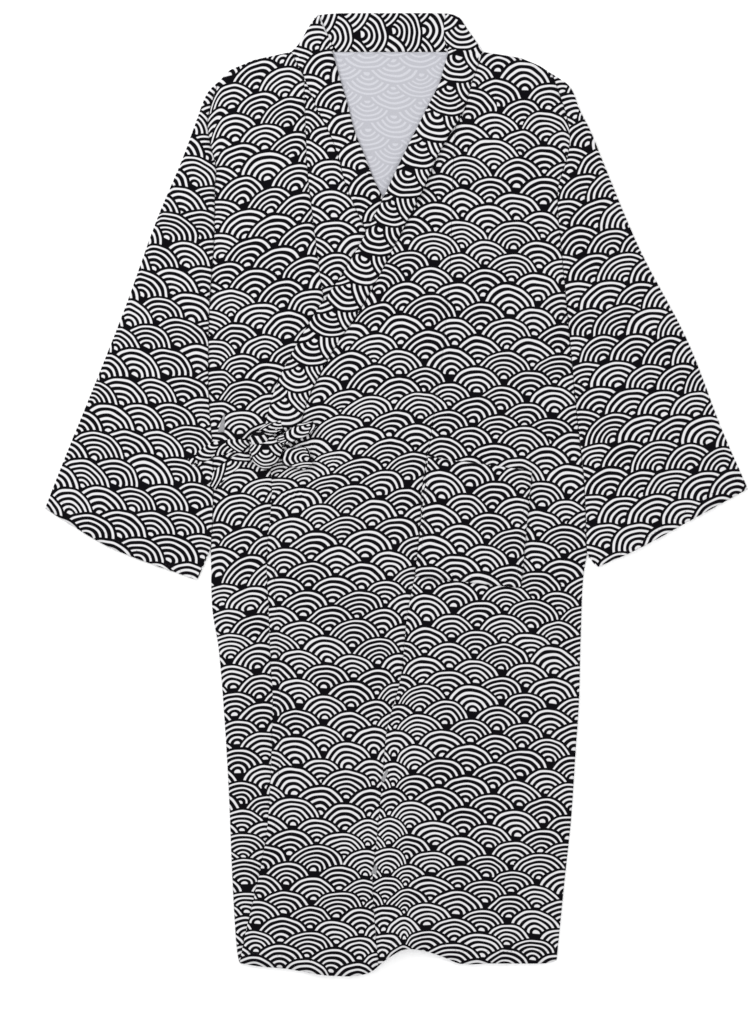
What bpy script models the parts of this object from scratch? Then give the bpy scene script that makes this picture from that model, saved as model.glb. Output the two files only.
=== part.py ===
"""A cotton wrap robe laid flat, front side up, with a tie knotted at the wearer's right side.

Seen from above, +Y points to the neck and +X to the viewer's right, which is the wearer's left.
The origin is on the floor, under the middle of the robe. Tables are in millimetres.
"""
import math
from collections import namedtuple

import bmesh
import bpy
from mathutils import Vector

MM = 0.001

# Cloth and seams
CLOTH = 1.2
SEAM = 0.3
REST = 0.4
BAND = 2.4
TIE_STRIP = 2.0
TIE_LOOP = 1.2

# Heights of each layer's underside above the floor
FLOOR = 0.0
UNDER = FLOOR + CLOTH + REST
OVER = UNDER + CLOTH + REST
OVER_BAND = UNDER + BAND + REST
POCKET_LIFT = CLOTH + REST

# How far the hidden layers stop short of the outline that shows
HIDDEN_INSET = 2.0
NECK_SEAM_Y = 553.0
TIP_SHARE = 0.35

BLACK_PRINT = (0.02, 0.018, 0.022, 1.0)
PALE_REVERSE = (0.62, 0.62, 0.68, 1.0)
CLOTH_ROUGHNESS = 0.85

# Outline of the body. Each row is x, y.
SHOULDER_RIGHT = [(-223, 515), (-208, 530.5), (-178, 543), (-133, 554)]
SHOULDER_LEFT = [(108, 555), (155, 545.5), (179, 535.5), (195, 525)]
ARMHOLE_RIGHT = [(-223, 515), (-231, 470), (-232, 437), (-228, 393), (-228, 320), (-234, 235),
                 (-235, 125), (-230, 55), (-229.5, -7), (-232, -66)]
ARMHOLE_LEFT = [(195, 525), (198, 460), (200.5, 388), (207, 298), (217, 192), (225.5, 100),
                (234.5, 17), (238, -74)]
SIDE_RIGHT = [(-232, -66), (-230, -144), (-222, -194), (-214, -294), (-209, -382), (-205.5, -470),
              (-200.5, -557), (-197, -585)]
SIDE_LEFT = [(238, -74), (233, -107), (230, -182), (228, -257), (223, -332), (218, -407),
             (210, -482), (200, -582)]
HEM = [(-197, -585), (-170, -589.5), (-140, -592), (-90, -600), (-60, -601.5), (-40, -599),
       (-30, -595), (-20, -586), (-10, -578), (9, -567.5), (29, -568), (58, -577), (80, -586),
       (119, -585.5), (188, -585.5), (200, -582)]

# Seams between the fronts and their overlap panels, below the collar
OKUMI_RIGHT = [(-114, 470), (-111, 402), (-101, 316), (-92, 250), (-78, 168), (-63, 80),
               (-54, -32), (-48, -157), (-43, -320), (-39, -599)]
OKUMI_LEFT = [(70, 393), (68, 318), (65, 250), (55, 155), (42, 68), (32, 8), (30, -44),
              (24, -94), (13, -154), (5, -230), (-12, -294), (-17, -349), (-25, -432),
              (-30, -482), (-23, -587)]
UNDER_FREE_EDGE = [(126, 100), (142, 5), (145, -132), (143, -382), (140, -584)]
OVER_FREE_EDGE = [(-163, 70), (-157, 30), (-155.5, 5), (-162, -85), (-160, -135), (-157, -210),
                  (-154.5, -260), (-159.5, -395), (-167, -453), (-179.5, -510), (-188, -545),
                  (-196, -585)]

# Collar band, from the neck down. The seam edge is sewn to the body and the other edge is free.
COLLAR_SEAM_RIGHT = [(-131, 553), (-114, 518), (-100, 484), (-85, 455), (-73, 424), (-65, 393),
                     (-53, 362), (-28, 310), (-1, 258), (19, 224), (49, 179), (74, 132), (83, 103)]
COLLAR_EDGE_RIGHT = [(-79.5, 551), (-70, 518), (-60, 484), (-52, 453), (-40, 424), (-28, 393),
                     (-13, 364), (14, 314), (42, 267), (67, 232), (92, 190), (113, 150), (128, 108)]
COLLAR_SEAM_LEFT = [(107, 553), (102, 537), (93, 512), (87, 488), (80, 472), (53, 427), (34, 383),
                    (-3, 310), (-30, 258), (-50, 224), (-80, 179), (-105, 132), (-114, 109), (-122, 82)]
COLLAR_EDGE_LEFT = [(64.5, 551), (60, 537), (54, 515), (44, 495), (34, 475), (10, 427), (-14, 376),
                    (-45, 314), (-73, 267), (-98, 232), (-123, 190), (-144, 150), (-158, 112), (-166, 74)]

# The band's turn round the back of the neck. under is the height of its underside.
Band = namedtuple("Band", "seam_x seam_y edge_x edge_y under")
COLLAR_NECK = [
    Band(-122, 563, -80.5, 553.3, 1.5),
    Band(-107, 588, -80, 555, 1.0),
    Band(-96, 599, -77.5, 556, 0.5),
    Band(-77, 601, -68, 553, FLOOR),
    Band(-45, 601.5, -40, 553, FLOOR),
    Band(-8, 601.5, -8, 553, FLOOR),
    Band(30, 601.5, 26, 553, FLOOR),
    Band(60, 601, 53, 553, FLOOR),
    Band(77, 597, 61, 556, 0.5),
    Band(88, 582, 64, 555, 1.0),
    Band(100, 565, 65, 553.3, 1.5),
]
# Height of the over band's underside on its way down, by y
OVER_BAND_RISE = [(553, UNDER), (500, 1.8), (430, 3.4), (405, OVER_BAND), (255, OVER_BAND),
                  (205, OVER), (60, OVER)]
# Where the layers under the left front end, by y
UNDER_LIMIT = [(602, -100), (553, -79), (393, -28), (314, 14), (232, 67), (150, 113), (98, 128),
               (5, 142), (-132, 145), (-382, 143), (-602, 140)]

# Cells along each seam. Both pieces at a seam share its points, so the gap between them is even.
ARMHOLE_CELLS = 12
SIDE_CELLS_RIGHT = 12
SIDE_CELLS_LEFT = 14
COLLAR_CELLS_RIGHT = 14
COLLAR_CELLS_LEFT = 16
OKUMI_CELLS = 23
TIP_RIGHT = 1
TIP_LEFT = 3
FREE_CELLS = 9

# Sleeves, seen flat. The top edge is the fold, the lower edge the seam under the arm.
SLEEVE_RIGHT_TOP = [(-223, 515), (-234, 505), (-241, 492), (-250, 467), (-268, 418), (-300, 342),
                    (-340, 231), (-385, 118), (-416, 42), (-439, -17)]
SLEEVE_LEFT_TOP = [(195, 525), (217, 509), (229, 480), (242, 455), (257, 418), (304, 306),
                   (363, 193), (407, 80), (439, 7)]
SLEEVE_RIGHT_LOWER = [(-232, -66), (-240, -86), (-249, -107)]
SLEEVE_LEFT_LOWER = [(238, -74), (244, -83), (250.5, -91)]
CUFF_RIGHT = [(-439, -17), (-418, -31), (-354, -68), (-249, -107)]
CUFF_LEFT = [(439, 7), (368, -32), (300, -69), (250.5, -91)]

POCKET_CORNERS = {"top_left": (39.5, 47), "top_right": (169, 29.5),
                  "bottom_right": (155.5, -117), "bottom_left": (23, -102)}

# Soft ridges in the laid cloth: a line from one end to the other, the height of the ridge at each end
# and how far it spreads to each side
Fold = namedtuple("Fold", "x0 y0 x1 y1 high0 high1 spread")
OVER_FOLDS = [
    Fold(2, -300, 14, -590, 1.0, 8.0, 34),
    Fold(-80, 20, 0, -40, 2.6, 0.6, 13),
    Fold(-110, -20, -60, -110, 2.2, 0.5, 12),
    Fold(165, 470, 95, 300, 2.6, 0.8, 16),
    Fold(190, 260, 110, 150, 2.4, 0.6, 15),
    Fold(205, -150, 120, -270, 2.6, 0.6, 16),
    Fold(-95, -140, -70, -380, 1.2, 2.4, 17),
    Fold(120, -330, 130, -560, 1.2, 3.4, 20),
    Fold(-110, -420, -95, -590, 1.4, 3.6, 18),
    Fold(60, -180, 45, -300, 1.8, 1.2, 14),
]
UNDER_FOLDS = [
    Fold(-200, 470, -160, 300, 1.5, 0.5, 15),
    Fold(-205, 250, -170, 130, 1.6, 0.6, 13),
    Fold(-200, -60, -190, -330, 1.6, 0.8, 11),
]
SLEEVE_FOLDS = [
    Fold(-252, 440, -256, 250, 1.6, 0.8, 12),
    Fold(-290, 300, -280, 90, 1.2, 1.2, 15),
    Fold(-350, 150, -300, -60, 1.4, 1.8, 18),
    Fold(-395, 60, -375, -40, 1.0, 1.6, 14),
]

# How far the left front's cover runs past the hidden band's middle and past the hidden layers' edge,
# and how far it takes to come down from there
BAND_COVER = 62.0
BAND_FALL = 45.0
EDGE_COVER = 22.0
EDGE_FALL = 40.0
SIDE_CALM = 35.0
# Below the tie, the right front shows only in the strip left of this x
OPEN_STRIP_X = -178.0
TIE_Y = 80.0
CHEST_OPEN_X = -150.0
OPEN_FALL = 22.0

# Cells across each panel
ACROSS = {"front_right": 7, "overlap_right": 6, "front_left": 12, "overlap_left": 9, "pocket": 6,
          "back": 10}
SLEEVE_ALONG = 14
BAND_ACROSS = 3


def smooth(value):
    """An S-shaped step from 0 to 1."""
    value = min(max(value, 0.0), 1.0)
    return value * value * (3.0 - 2.0 * value)


def segment_reach(x, y, ax, ay, bx, by):
    """Where the nearest point of a segment lies along it, from 0 to 1, and how far away it is."""
    dx, dy = bx - ax, by - ay
    along = ((x - ax) * dx + (y - ay) * dy) / (dx * dx + dy * dy)
    along = min(max(along, 0.0), 1.0)
    return along, math.hypot(x - ax - along * dx, y - ay - along * dy)


def fold_height(x, y, folds):
    """The height that the soft ridges add at one point."""
    total = 0.0
    for fold in folds:
        along, away = segment_reach(x, y, fold.x0, fold.y0, fold.x1, fold.y1)
        high = fold.high0 + (fold.high1 - fold.high0) * along
        total += high * math.exp(-((away / fold.spread) ** 2))
    return total


def distance_to_line(x, y, line):
    """The distance from a point to a line of points."""
    pairs = zip(line, line[1:])
    return min(segment_reach(x, y, *a, *b)[1] for a, b in pairs)


def sample(line, cells):
    """Points at even steps along a line."""
    lengths = [math.dist(a, b) for a, b in zip(line, line[1:])]
    total = sum(lengths)
    points = []
    for k in range(cells + 1):
        target = total * k / cells
        for (a, b), length in zip(zip(line, line[1:]), lengths):
            if target <= length + 1e-9:
                break
            target -= length
        t = min(target / length, 1.0)
        points.append((a[0] + (b[0] - a[0]) * t, a[1] + (b[1] - a[1]) * t))
    return points


def beside(points, away):
    """Points moved square to their line, to the viewer's right where the line runs down."""
    moved = []
    for i, (x, y) in enumerate(points):
        before, after = points[max(i - 1, 0)], points[min(i + 1, len(points) - 1)]
        dx, dy = after[0] - before[0], after[1] - before[1]
        length = math.hypot(dx, dy)
        moved.append((x - dy / length * away, y + dx / length * away))
    return moved


def shifted(line, dx, dy):
    """A line moved sideways."""
    return [(x + dx, y + dy) for x, y in line]


def between(a, b, share):
    """A point part of the way from one point to another."""
    return (a[0] + (b[0] - a[0]) * share, a[1] + (b[1] - a[1]) * share)


def patch(top, bottom, left, right):
    """Rows of points between four edges. Opposite edges have the same number of points."""
    left = [top[0]] + left[1:-1] + [bottom[0]]
    right = [top[-1]] + right[1:-1] + [bottom[-1]]
    across, along = len(top) - 1, len(left) - 1
    rows = []
    for j in range(along + 1):
        v = j / along
        row = []
        for i in range(across + 1):
            u = i / across
            point = []
            for k in (0, 1):
                ruled = (1 - v) * top[i][k] + v * bottom[i][k] + (1 - u) * left[j][k] + u * right[j][k]
                corners = ((1 - u) * (1 - v) * top[0][k] + u * (1 - v) * top[-1][k]
                           + (1 - u) * v * bottom[0][k] + u * v * bottom[-1][k])
                point.append(ruled - corners)
            row.append(tuple(point))
        rows.append(row)
    return rows


def table_value(table, place):
    """The value at one place in a table of falling places and their values."""
    for (a, first), (b, second) in zip(table, table[1:]):
        if b <= place <= a:
            return first + (second - first) * (a - place) / (a - b)
    return table[0][1] if place > table[0][0] else table[-1][1]


def hem_y(x):
    """The hem's place at one x."""
    return table_value([(-px, py) for px, py in HEM], -x)


def hem_between(start_x, end_x, cells, lift=0.0):
    """The stretch of the hem between two sides, raised a little for a hidden layer."""
    steps = [start_x + (end_x - start_x) * k / cells for k in range(cells + 1)]
    return [(x, hem_y(x) + lift) for x in steps]


ARMHOLE_SEAM_RIGHT = sample(ARMHOLE_RIGHT, ARMHOLE_CELLS)
ARMHOLE_SEAM_LEFT = sample(ARMHOLE_LEFT, ARMHOLE_CELLS)
SIDE_SEAM_RIGHT = sample(SIDE_RIGHT, SIDE_CELLS_RIGHT)
SIDE_SEAM_LEFT = sample(SIDE_LEFT, SIDE_CELLS_LEFT)
BAND_SEAM_RIGHT = sample(COLLAR_SEAM_RIGHT, COLLAR_CELLS_RIGHT)
BAND_SEAM_LEFT = sample(COLLAR_SEAM_LEFT, COLLAR_CELLS_LEFT)
OKUMI_SEAM_RIGHT = sample([BAND_SEAM_RIGHT[TIP_RIGHT]] + OKUMI_RIGHT, OKUMI_CELLS)
OKUMI_SEAM_LEFT = sample([BAND_SEAM_LEFT[TIP_LEFT]] + OKUMI_LEFT, OKUMI_CELLS)
HIDDEN_BAND_LINE = [((a[0] + b[0]) / 2, (a[1] + b[1]) / 2)
                    for a, b in zip(COLLAR_SEAM_RIGHT[5:], COLLAR_EDGE_RIGHT[5:])]


def over_height(x, y):
    """The underside of the left front and its overlap panel, over all that lies below them."""
    away = distance_to_line(x, y, HIDDEN_BAND_LINE)
    on_band = 1.0 - smooth((away - BAND_COVER) / BAND_FALL)
    on_front = smooth((table_value(UNDER_LIMIT, y) + EDGE_COVER + EDGE_FALL - x) / EDGE_FALL)
    base = UNDER + (OVER - UNDER) * on_front + (OVER_BAND - OVER) * on_band * on_front
    side = table_value([(py, px) for px, py in ARMHOLE_LEFT + SIDE_LEFT[1:]], y)
    return base + fold_height(x, y, OVER_FOLDS) * smooth((side - x) / SIDE_CALM)


def under_height(x, y):
    """The underside of the right front, with its ridges where nothing lies over it."""
    open_edge = OPEN_STRIP_X if y < TIE_Y else CHEST_OPEN_X
    side = table_value([(py, px) for px, py in ARMHOLE_RIGHT + SIDE_RIGHT[1:]], y)
    calm = smooth((open_edge - x) / OPEN_FALL) * smooth((x - side) / OPEN_FALL)
    return UNDER + fold_height(x, y, UNDER_FOLDS) * calm


def flat_height(x, y):
    """The underside of a hidden panel that lies on the back."""
    return UNDER


def floor_height(x, y):
    """The underside of a panel that lies on the floor."""
    return FLOOR


def cloth_material(name, color):
    """A plain cloth finish for one piece."""
    material = bpy.data.materials.new(name + "_cloth")
    material.use_nodes = True
    shader = material.node_tree.nodes["Principled BSDF"]
    shader.inputs["Base Color"].default_value = color
    shader.inputs["Roughness"].default_value = CLOTH_ROUGHNESS
    shader.inputs["Metallic"].default_value = 0.0
    return material


def sheet_object(name, rows, thickness, color, collection):
    """A wall of cloth on rows of x, y, z points. The wall grows to their upper or inner side."""
    mesh = bpy.data.meshes.new(name)
    build = bmesh.new()
    grid = [[build.verts.new(Vector(point) * MM) for point in row] for row in rows]
    for upper, lower in zip(grid, grid[1:]):
        for i in range(len(upper) - 1):
            build.faces.new((upper[i], lower[i], lower[i + 1], upper[i + 1]))
    bmesh.ops.triangulate(build, faces=build.faces)
    build.to_mesh(mesh)
    build.free()
    mesh.shade_smooth()
    piece = bpy.data.objects.new(name, mesh)
    piece.data.materials.append(cloth_material(name, color))
    collection.objects.link(piece)
    wall = piece.modifiers.new("cloth_wall", "SOLIDIFY")
    wall.thickness = thickness * MM
    wall.offset = 1.0
    return piece


def raised(rows, height):
    """Adds each point's height above the floor."""
    return [[(x, y, height(x, y)) for x, y in row] for row in rows]


def make_back(collection):
    """The back panel, flat on the floor, its edges just inside the fronts."""
    inset = HIDDEN_INSET
    left = beside(ARMHOLE_SEAM_RIGHT, SEAM / 2) + beside(SIDE_SEAM_RIGHT, inset)[1:]
    right = beside(ARMHOLE_SEAM_LEFT, -SEAM / 2) + beside(SIDE_SEAM_LEFT, -inset)[1:-2]
    neck = [(-60, NECK_SEAM_Y - SEAM), (40, NECK_SEAM_Y - SEAM)]
    shoulders = shifted(SHOULDER_RIGHT, 0, -inset) + neck + shifted(SHOULDER_LEFT, 0, -inset)
    top = sample(shoulders, ACROSS["back"])
    bottom = hem_between(left[-1][0] + 1, SIDE_LEFT[-1][0] - inset, ACROSS["back"], 2 * inset)
    rows = patch(top, bottom, left, right)
    return sheet_object("back", raised(rows, floor_height), CLOTH, PALE_REVERSE, collection)


def make_front_right(collection):
    """The right front, from the shoulder to the hem, under the left one."""
    left = beside(ARMHOLE_SEAM_RIGHT, SEAM / 2) + SIDE_SEAM_RIGHT[1:]
    right = beside(BAND_SEAM_RIGHT[:TIP_RIGHT + 1], -SEAM) + beside(OKUMI_SEAM_RIGHT, -SEAM / 2)[1:]
    top = sample([left[0]] + SHOULDER_RIGHT[1:-1] + [right[0]], ACROSS["front_right"])
    bottom = hem_between(SIDE_RIGHT[-1][0] + 1, right[-1][0], ACROSS["front_right"])
    start = SIDE_RIGHT[-1][0]
    bottom = [(x, y + 2 * HIDDEN_INSET * smooth((x - start) / OPEN_FALL)) for x, y in bottom]
    rows = patch(top, bottom, left, right)
    return sheet_object("front_right", raised(rows, under_height), CLOTH, BLACK_PRINT, collection)


def make_overlap_right(collection):
    """The right overlap panel, seen only at the chest."""
    left = beside(OKUMI_SEAM_RIGHT, SEAM / 2)
    seam = beside(BAND_SEAM_RIGHT[TIP_RIGHT:], -SEAM)
    right = seam + sample(UNDER_FREE_EDGE, FREE_CELLS)
    top = sample([between(left[0], left[1], TIP_SHARE), between(seam[0], seam[1], TIP_SHARE)],
                 ACROSS["overlap_right"])
    bottom = hem_between(left[-1][0], UNDER_FREE_EDGE[-1][0], ACROSS["overlap_right"], 2 * HIDDEN_INSET)
    rows = patch(top, bottom, left, right)
    return sheet_object("overlap_right", raised(rows, flat_height), CLOTH, BLACK_PRINT, collection)


def make_front_left(collection):
    """The left front, which lies over the right one."""
    left = beside(BAND_SEAM_LEFT[:TIP_LEFT + 1], SEAM) + beside(OKUMI_SEAM_LEFT, SEAM / 2)[1:]
    right = beside(ARMHOLE_SEAM_LEFT, -SEAM / 2) + SIDE_SEAM_LEFT[1:]
    top = sample([left[0]] + SHOULDER_LEFT[1:-1] + [right[0]], ACROSS["front_left"])
    bottom = hem_between(left[-1][0], SIDE_LEFT[-1][0], ACROSS["front_left"])
    rows = patch(top, bottom, left, right)
    return sheet_object("front_left", raised(rows, over_height), CLOTH, BLACK_PRINT, collection)


def make_overlap_left(collection):
    """The left overlap panel, with the robe's free edge."""
    seam = beside(BAND_SEAM_LEFT[TIP_LEFT:], SEAM)
    left = seam + sample(OVER_FREE_EDGE, FREE_CELLS)
    right = beside(OKUMI_SEAM_LEFT, -SEAM / 2)
    top = sample([between(seam[0], seam[1], TIP_SHARE), between(right[0], right[1], TIP_SHARE)],
                 ACROSS["overlap_left"])
    bottom = hem_between(OVER_FREE_EDGE[-1][0], right[-1][0], ACROSS["overlap_left"])
    rows = patch(top, bottom, left, right)
    return sheet_object("overlap_left", raised(rows, over_height), CLOTH, BLACK_PRINT, collection)


def make_pocket(collection):
    """The patch pocket, made from the left front's points and moved out."""
    c = POCKET_CORNERS
    cells = ACROSS["pocket"]
    top = sample([c["top_left"], c["top_right"]], cells)
    bottom = sample([c["bottom_left"], c["bottom_right"]], cells)
    left = sample([c["top_left"], c["bottom_left"]], cells)
    right = sample([c["top_right"], c["bottom_right"]], cells)
    rows = raised(patch(top, bottom, left, right), lambda x, y: over_height(x, y) + POCKET_LIFT)
    return sheet_object("pocket", rows, CLOTH, BLACK_PRINT, collection)


def band_stretch(seam, edge, heights):
    """Sections of the collar between its seam edge and its free edge."""
    return [Band(*a, *b, table_value(heights, (a[1] + b[1]) / 2)) for a, b in zip(seam, edge)]


def make_collar(collection):
    """The doubled collar band, one strip from its hidden right end round the neck to its left end."""
    flat = [(600, UNDER), (0, UNDER)]
    down_right = band_stretch(BAND_SEAM_RIGHT, sample(COLLAR_EDGE_RIGHT, COLLAR_CELLS_RIGHT), flat)
    down_left = band_stretch(BAND_SEAM_LEFT, sample(COLLAR_EDGE_LEFT, COLLAR_CELLS_LEFT),
                             OVER_BAND_RISE)
    rows = []
    for band in down_right[::-1] + COLLAR_NECK + down_left:
        row = []
        for i in range(BAND_ACROSS + 1):
            t = i / BAND_ACROSS
            x = band.edge_x + (band.seam_x - band.edge_x) * t
            y = band.edge_y + (band.seam_y - band.edge_y) * t
            row.append((x, y, band.under))
        rows.append(row)
    return sheet_object("collar", rows, BAND, BLACK_PRINT, collection)


# A sleeve's height along its folded edges, how much more it has between them and how far its rounded
# edges reach in
SLEEVE_FOLD_HEIGHT = 2 * CLOTH + REST
SLEEVE_PUFF = 1.5
FOLD_ROUND = 1.3


def sleeve_tops(row, share, mirror):
    """The height of a sleeve's upper face at each point of one section."""
    count = len(row) - 1
    calm = math.sin(math.pi * (0.06 + 0.88 * share)) ** 0.7
    tops = []
    for i, (x, y) in enumerate(row):
        bow = math.sqrt(max(math.sin(math.pi * i / count), 0.0))
        rise = SLEEVE_PUFF + fold_height(x * mirror, y, SLEEVE_FOLDS)
        tops.append(SLEEVE_FOLD_HEIGHT + rise * bow * calm)
    return tops


def sleeve_ring(row, tops, inset, wall):
    """One ring of a flattened tube, inset by the wall for the inner one."""
    line = [Vector(p) for p in row]
    first, last = line[0].copy(), line[-1].copy()
    inward = (line[1] - first).normalized()
    back = (line[-2] - last).normalized()
    line[0] = first + inward * (inset + FOLD_ROUND)
    line[-1] = last + back * (inset + FOLD_ROUND)
    middle = tops[0] / 2
    lower = [(p.x, p.y, FLOOR + wall) for p in line]
    upper = [(p.x, p.y, top - wall) for p, top in zip(line, tops)]
    start = first + inward * inset
    end = last + back * inset
    return [(start.x, start.y, middle)] + lower + [(end.x, end.y, middle)] + upper[::-1]


def make_sleeve(name, armhole, cuff, top, lower, mirror, collection):
    """A sleeve as a flattened tube, open at the armhole and at the cuff."""
    grid = patch(armhole, sample(cuff, ARMHOLE_CELLS), sample(top, SLEEVE_ALONG),
                 sample(lower, SLEEVE_ALONG))
    build = bmesh.new()
    outer, inner = [], []
    for j, row in enumerate(grid):
        tops = sleeve_tops(row, j / SLEEVE_ALONG, mirror)
        for rings, inset in ((outer, 0.0), (inner, CLOTH)):
            rings.append([build.verts.new(Vector(p) * MM) for p in sleeve_ring(row, tops, inset, inset)])
    join_rings(build, outer, inner)
    bmesh.ops.triangulate(build, faces=build.faces)
    bmesh.ops.recalc_face_normals(build, faces=build.faces)
    mesh = bpy.data.meshes.new(name)
    build.to_mesh(mesh)
    build.free()
    mesh.shade_smooth()
    piece = bpy.data.objects.new(name, mesh)
    piece.data.materials.append(cloth_material(name, BLACK_PRINT))
    collection.objects.link(piece)
    return piece


def join_rings(build, outer, inner):
    """Faces along the outer and the inner rings, and between them at both open ends."""
    size = len(outer[0])
    for walls in (outer, inner):
        for a, b in zip(walls, walls[1:]):
            for i in range(size):
                j = (i + 1) % size
                build.faces.new((a[i], b[i], b[j], a[j]))
    for end in (0, -1):
        for i in range(size):
            j = (i + 1) % size
            build.faces.new((outer[end][i], outer[end][j], inner[end][j], inner[end][i]))


# Tie: each row is a section across a strip, given by its middle, the way the strip heads in degrees,
# its width and the height of its outer side. A loop's rows run out along its lower side, round its
# end and back along its upper side.
Strip = namedtuple("Strip", "x y heading width high")
TIE_LEAD = [
    Strip(-143, 86, 195, 13, 6.0),
    Strip(-153, 83, 200, 14, 6.0),
    Strip(-161, 79.5, 215, 14, 6.2),
    Strip(-166, 77, 235, 13, 7.0),
]
TIE_STRAND = [
    Strip(-184, 60, 180, 13, 3.8),
    Strip(-200, 61, 182, 16, 3.4),
    Strip(-218, 59, 195, 17, 3.4),
    Strip(-230, 55, 205, 17, 4.2),
    Strip(-240, 49.5, 210, 16, 4.8),
    Strip(-250, 43, 212, 15, 5.0),
    Strip(-257, 38.5, 213, 13, 5.0),
]
TIE_TAIL = [
    Strip(-183, 46.5, 190, 13, 3.6),
    Strip(-197, 42, 205, 16, 3.3),
    Strip(-210, 34, 220, 17, 3.3),
    Strip(-220, 25, 232, 17, 3.4),
    Strip(-227, 16, 235, 16, 3.8),
    Strip(-231, 10, 236, 15, 4.0),
]
TIE_LOOP_LOW = [
    Strip(-142.6, 46, 0, 15, 5.2),
    Strip(-134, 46.5, 0, 22, 4.9),
    Strip(-122, 46, 0, 27, 4.9),
    Strip(-111, 45, 0, 28, 5.1),
    Strip(-107, 44.5, 0, 27, 5.9),
    Strip(-105.6, 44.5, 0, 26, 7.4),
    Strip(-107, 44.5, 0, 27, 8.9),
    Strip(-111, 45, 0, 28, 9.7),
    Strip(-122, 46, 0, 26, 10.6),
    Strip(-134, 46.5, 0, 21, 11.0),
    Strip(-142.6, 46, 0, 14, 10.6),
]
TIE_LOOP_HIGH = [
    Strip(-146, 66, 24, 12, 6.4),
    Strip(-134, 72, 24, 15, 6.2),
    Strip(-120, 79, 24, 17, 6.2),
    Strip(-107, 85, 24, 15, 6.3),
    Strip(-102.5, 87, 24, 13, 7.0),
    Strip(-101.3, 87.6, 24, 12, 8.1),
    Strip(-102.5, 87, 24, 13, 9.2),
    Strip(-107, 85, 24, 15, 9.9),
    Strip(-120, 79, 24, 17, 10.3),
    Strip(-134, 72, 24, 14, 10.5),
    Strip(-146, 66, 24, 11, 10.2),
]
STRIP_ACROSS = 3
KNOT_CENTRE = (-163.0, 53.0, 10.4)
KNOT_RADII = (19.6, 20.6, 5.6)
# The wrap across the knot: its height, its direction in radians and its spread as a share of the knot
KNOT_WRAP = 1.1
KNOT_WRAP_TURN = 0.6
KNOT_WRAP_SPREAD = 0.35


def make_strip(name, strips, thickness, collection):
    """A flat strip of doubled cloth through its sections."""
    rows = []
    for strip in strips:
        turn = math.radians(strip.heading + 90.0)
        row = []
        for i in range(STRIP_ACROSS + 1):
            side = (i / STRIP_ACROSS - 0.5) * strip.width
            row.append((strip.x + math.cos(turn) * side, strip.y + math.sin(turn) * side, strip.high))
        rows.append(row)
    return sheet_object(name, rows, thickness, BLACK_PRINT, collection)


def make_knot(collection):
    """The knot of the tie, a flattened round with a wrap across its middle."""
    mesh = bpy.data.meshes.new("tie_knot")
    build = bmesh.new()
    bmesh.ops.create_uvsphere(build, u_segments=20, v_segments=12, radius=1.0)
    for vert in build.verts:
        across = vert.co.x * math.cos(KNOT_WRAP_TURN) + vert.co.y * math.sin(KNOT_WRAP_TURN)
        wrap = KNOT_WRAP * math.exp(-((across / KNOT_WRAP_SPREAD) ** 2)) * max(vert.co.z, 0.0)
        place = [c + r * k for c, r, k in zip(KNOT_CENTRE, KNOT_RADII, vert.co)]
        place[2] += wrap
        vert.co = Vector(place) * MM
    bmesh.ops.triangulate(build, faces=build.faces)
    build.to_mesh(mesh)
    build.free()
    mesh.shade_smooth()
    piece = bpy.data.objects.new("tie_knot", mesh)
    piece.data.materials.append(cloth_material("tie_knot", BLACK_PRINT))
    collection.objects.link(piece)
    return piece


def make_collection(name):
    """A collection linked to the scene."""
    collection = bpy.data.collections.new(name)
    bpy.context.scene.collection.children.link(collection)
    return collection


def clear_scene():
    """Takes out everything that a new file starts with."""
    for old in list(bpy.data.objects):
        bpy.data.objects.remove(old, do_unlink=True)


def main():
    clear_scene()
    robe = make_collection("wrap_robe")
    make_back(robe)
    make_front_right(robe)
    make_overlap_right(robe)
    make_front_left(robe)
    make_overlap_left(robe)
    make_pocket(robe)
    make_collar(robe)
    make_sleeve("sleeve_right", beside(ARMHOLE_SEAM_RIGHT, -SEAM / 2), CUFF_RIGHT, SLEEVE_RIGHT_TOP,
                SLEEVE_RIGHT_LOWER, 1.0, robe)
    make_sleeve("sleeve_left", beside(ARMHOLE_SEAM_LEFT, SEAM / 2), CUFF_LEFT, SLEEVE_LEFT_TOP,
                SLEEVE_LEFT_LOWER, -1.0, robe)
    make_knot(robe)
    make_strip("tie_lead", TIE_LEAD, TIE_STRIP, robe)
    make_strip("tie_strand", TIE_STRAND, TIE_STRIP, robe)
    make_strip("tie_tail", TIE_TAIL, TIE_STRIP, robe)
    make_strip("tie_loop_low", TIE_LOOP_LOW, TIE_LOOP, robe)
    make_strip("tie_loop_high", TIE_LOOP_HIGH, TIE_LOOP, robe)


main()
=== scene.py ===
# %% [markdown]
# A light cotton wrap robe lies flat on its back, front side up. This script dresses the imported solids
# with thin sheets of cloth, one for each piece that a maker would cut: back, two fronts, two overlap
# panels, two sleeves, a collar band, a pocket and the stretches of a knotted tie.
# Everything is laid out in millimetres, seen from above, with +Y to the neck. MM turns it to metres.

# %% Load the solids
import math
from collections import namedtuple

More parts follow.
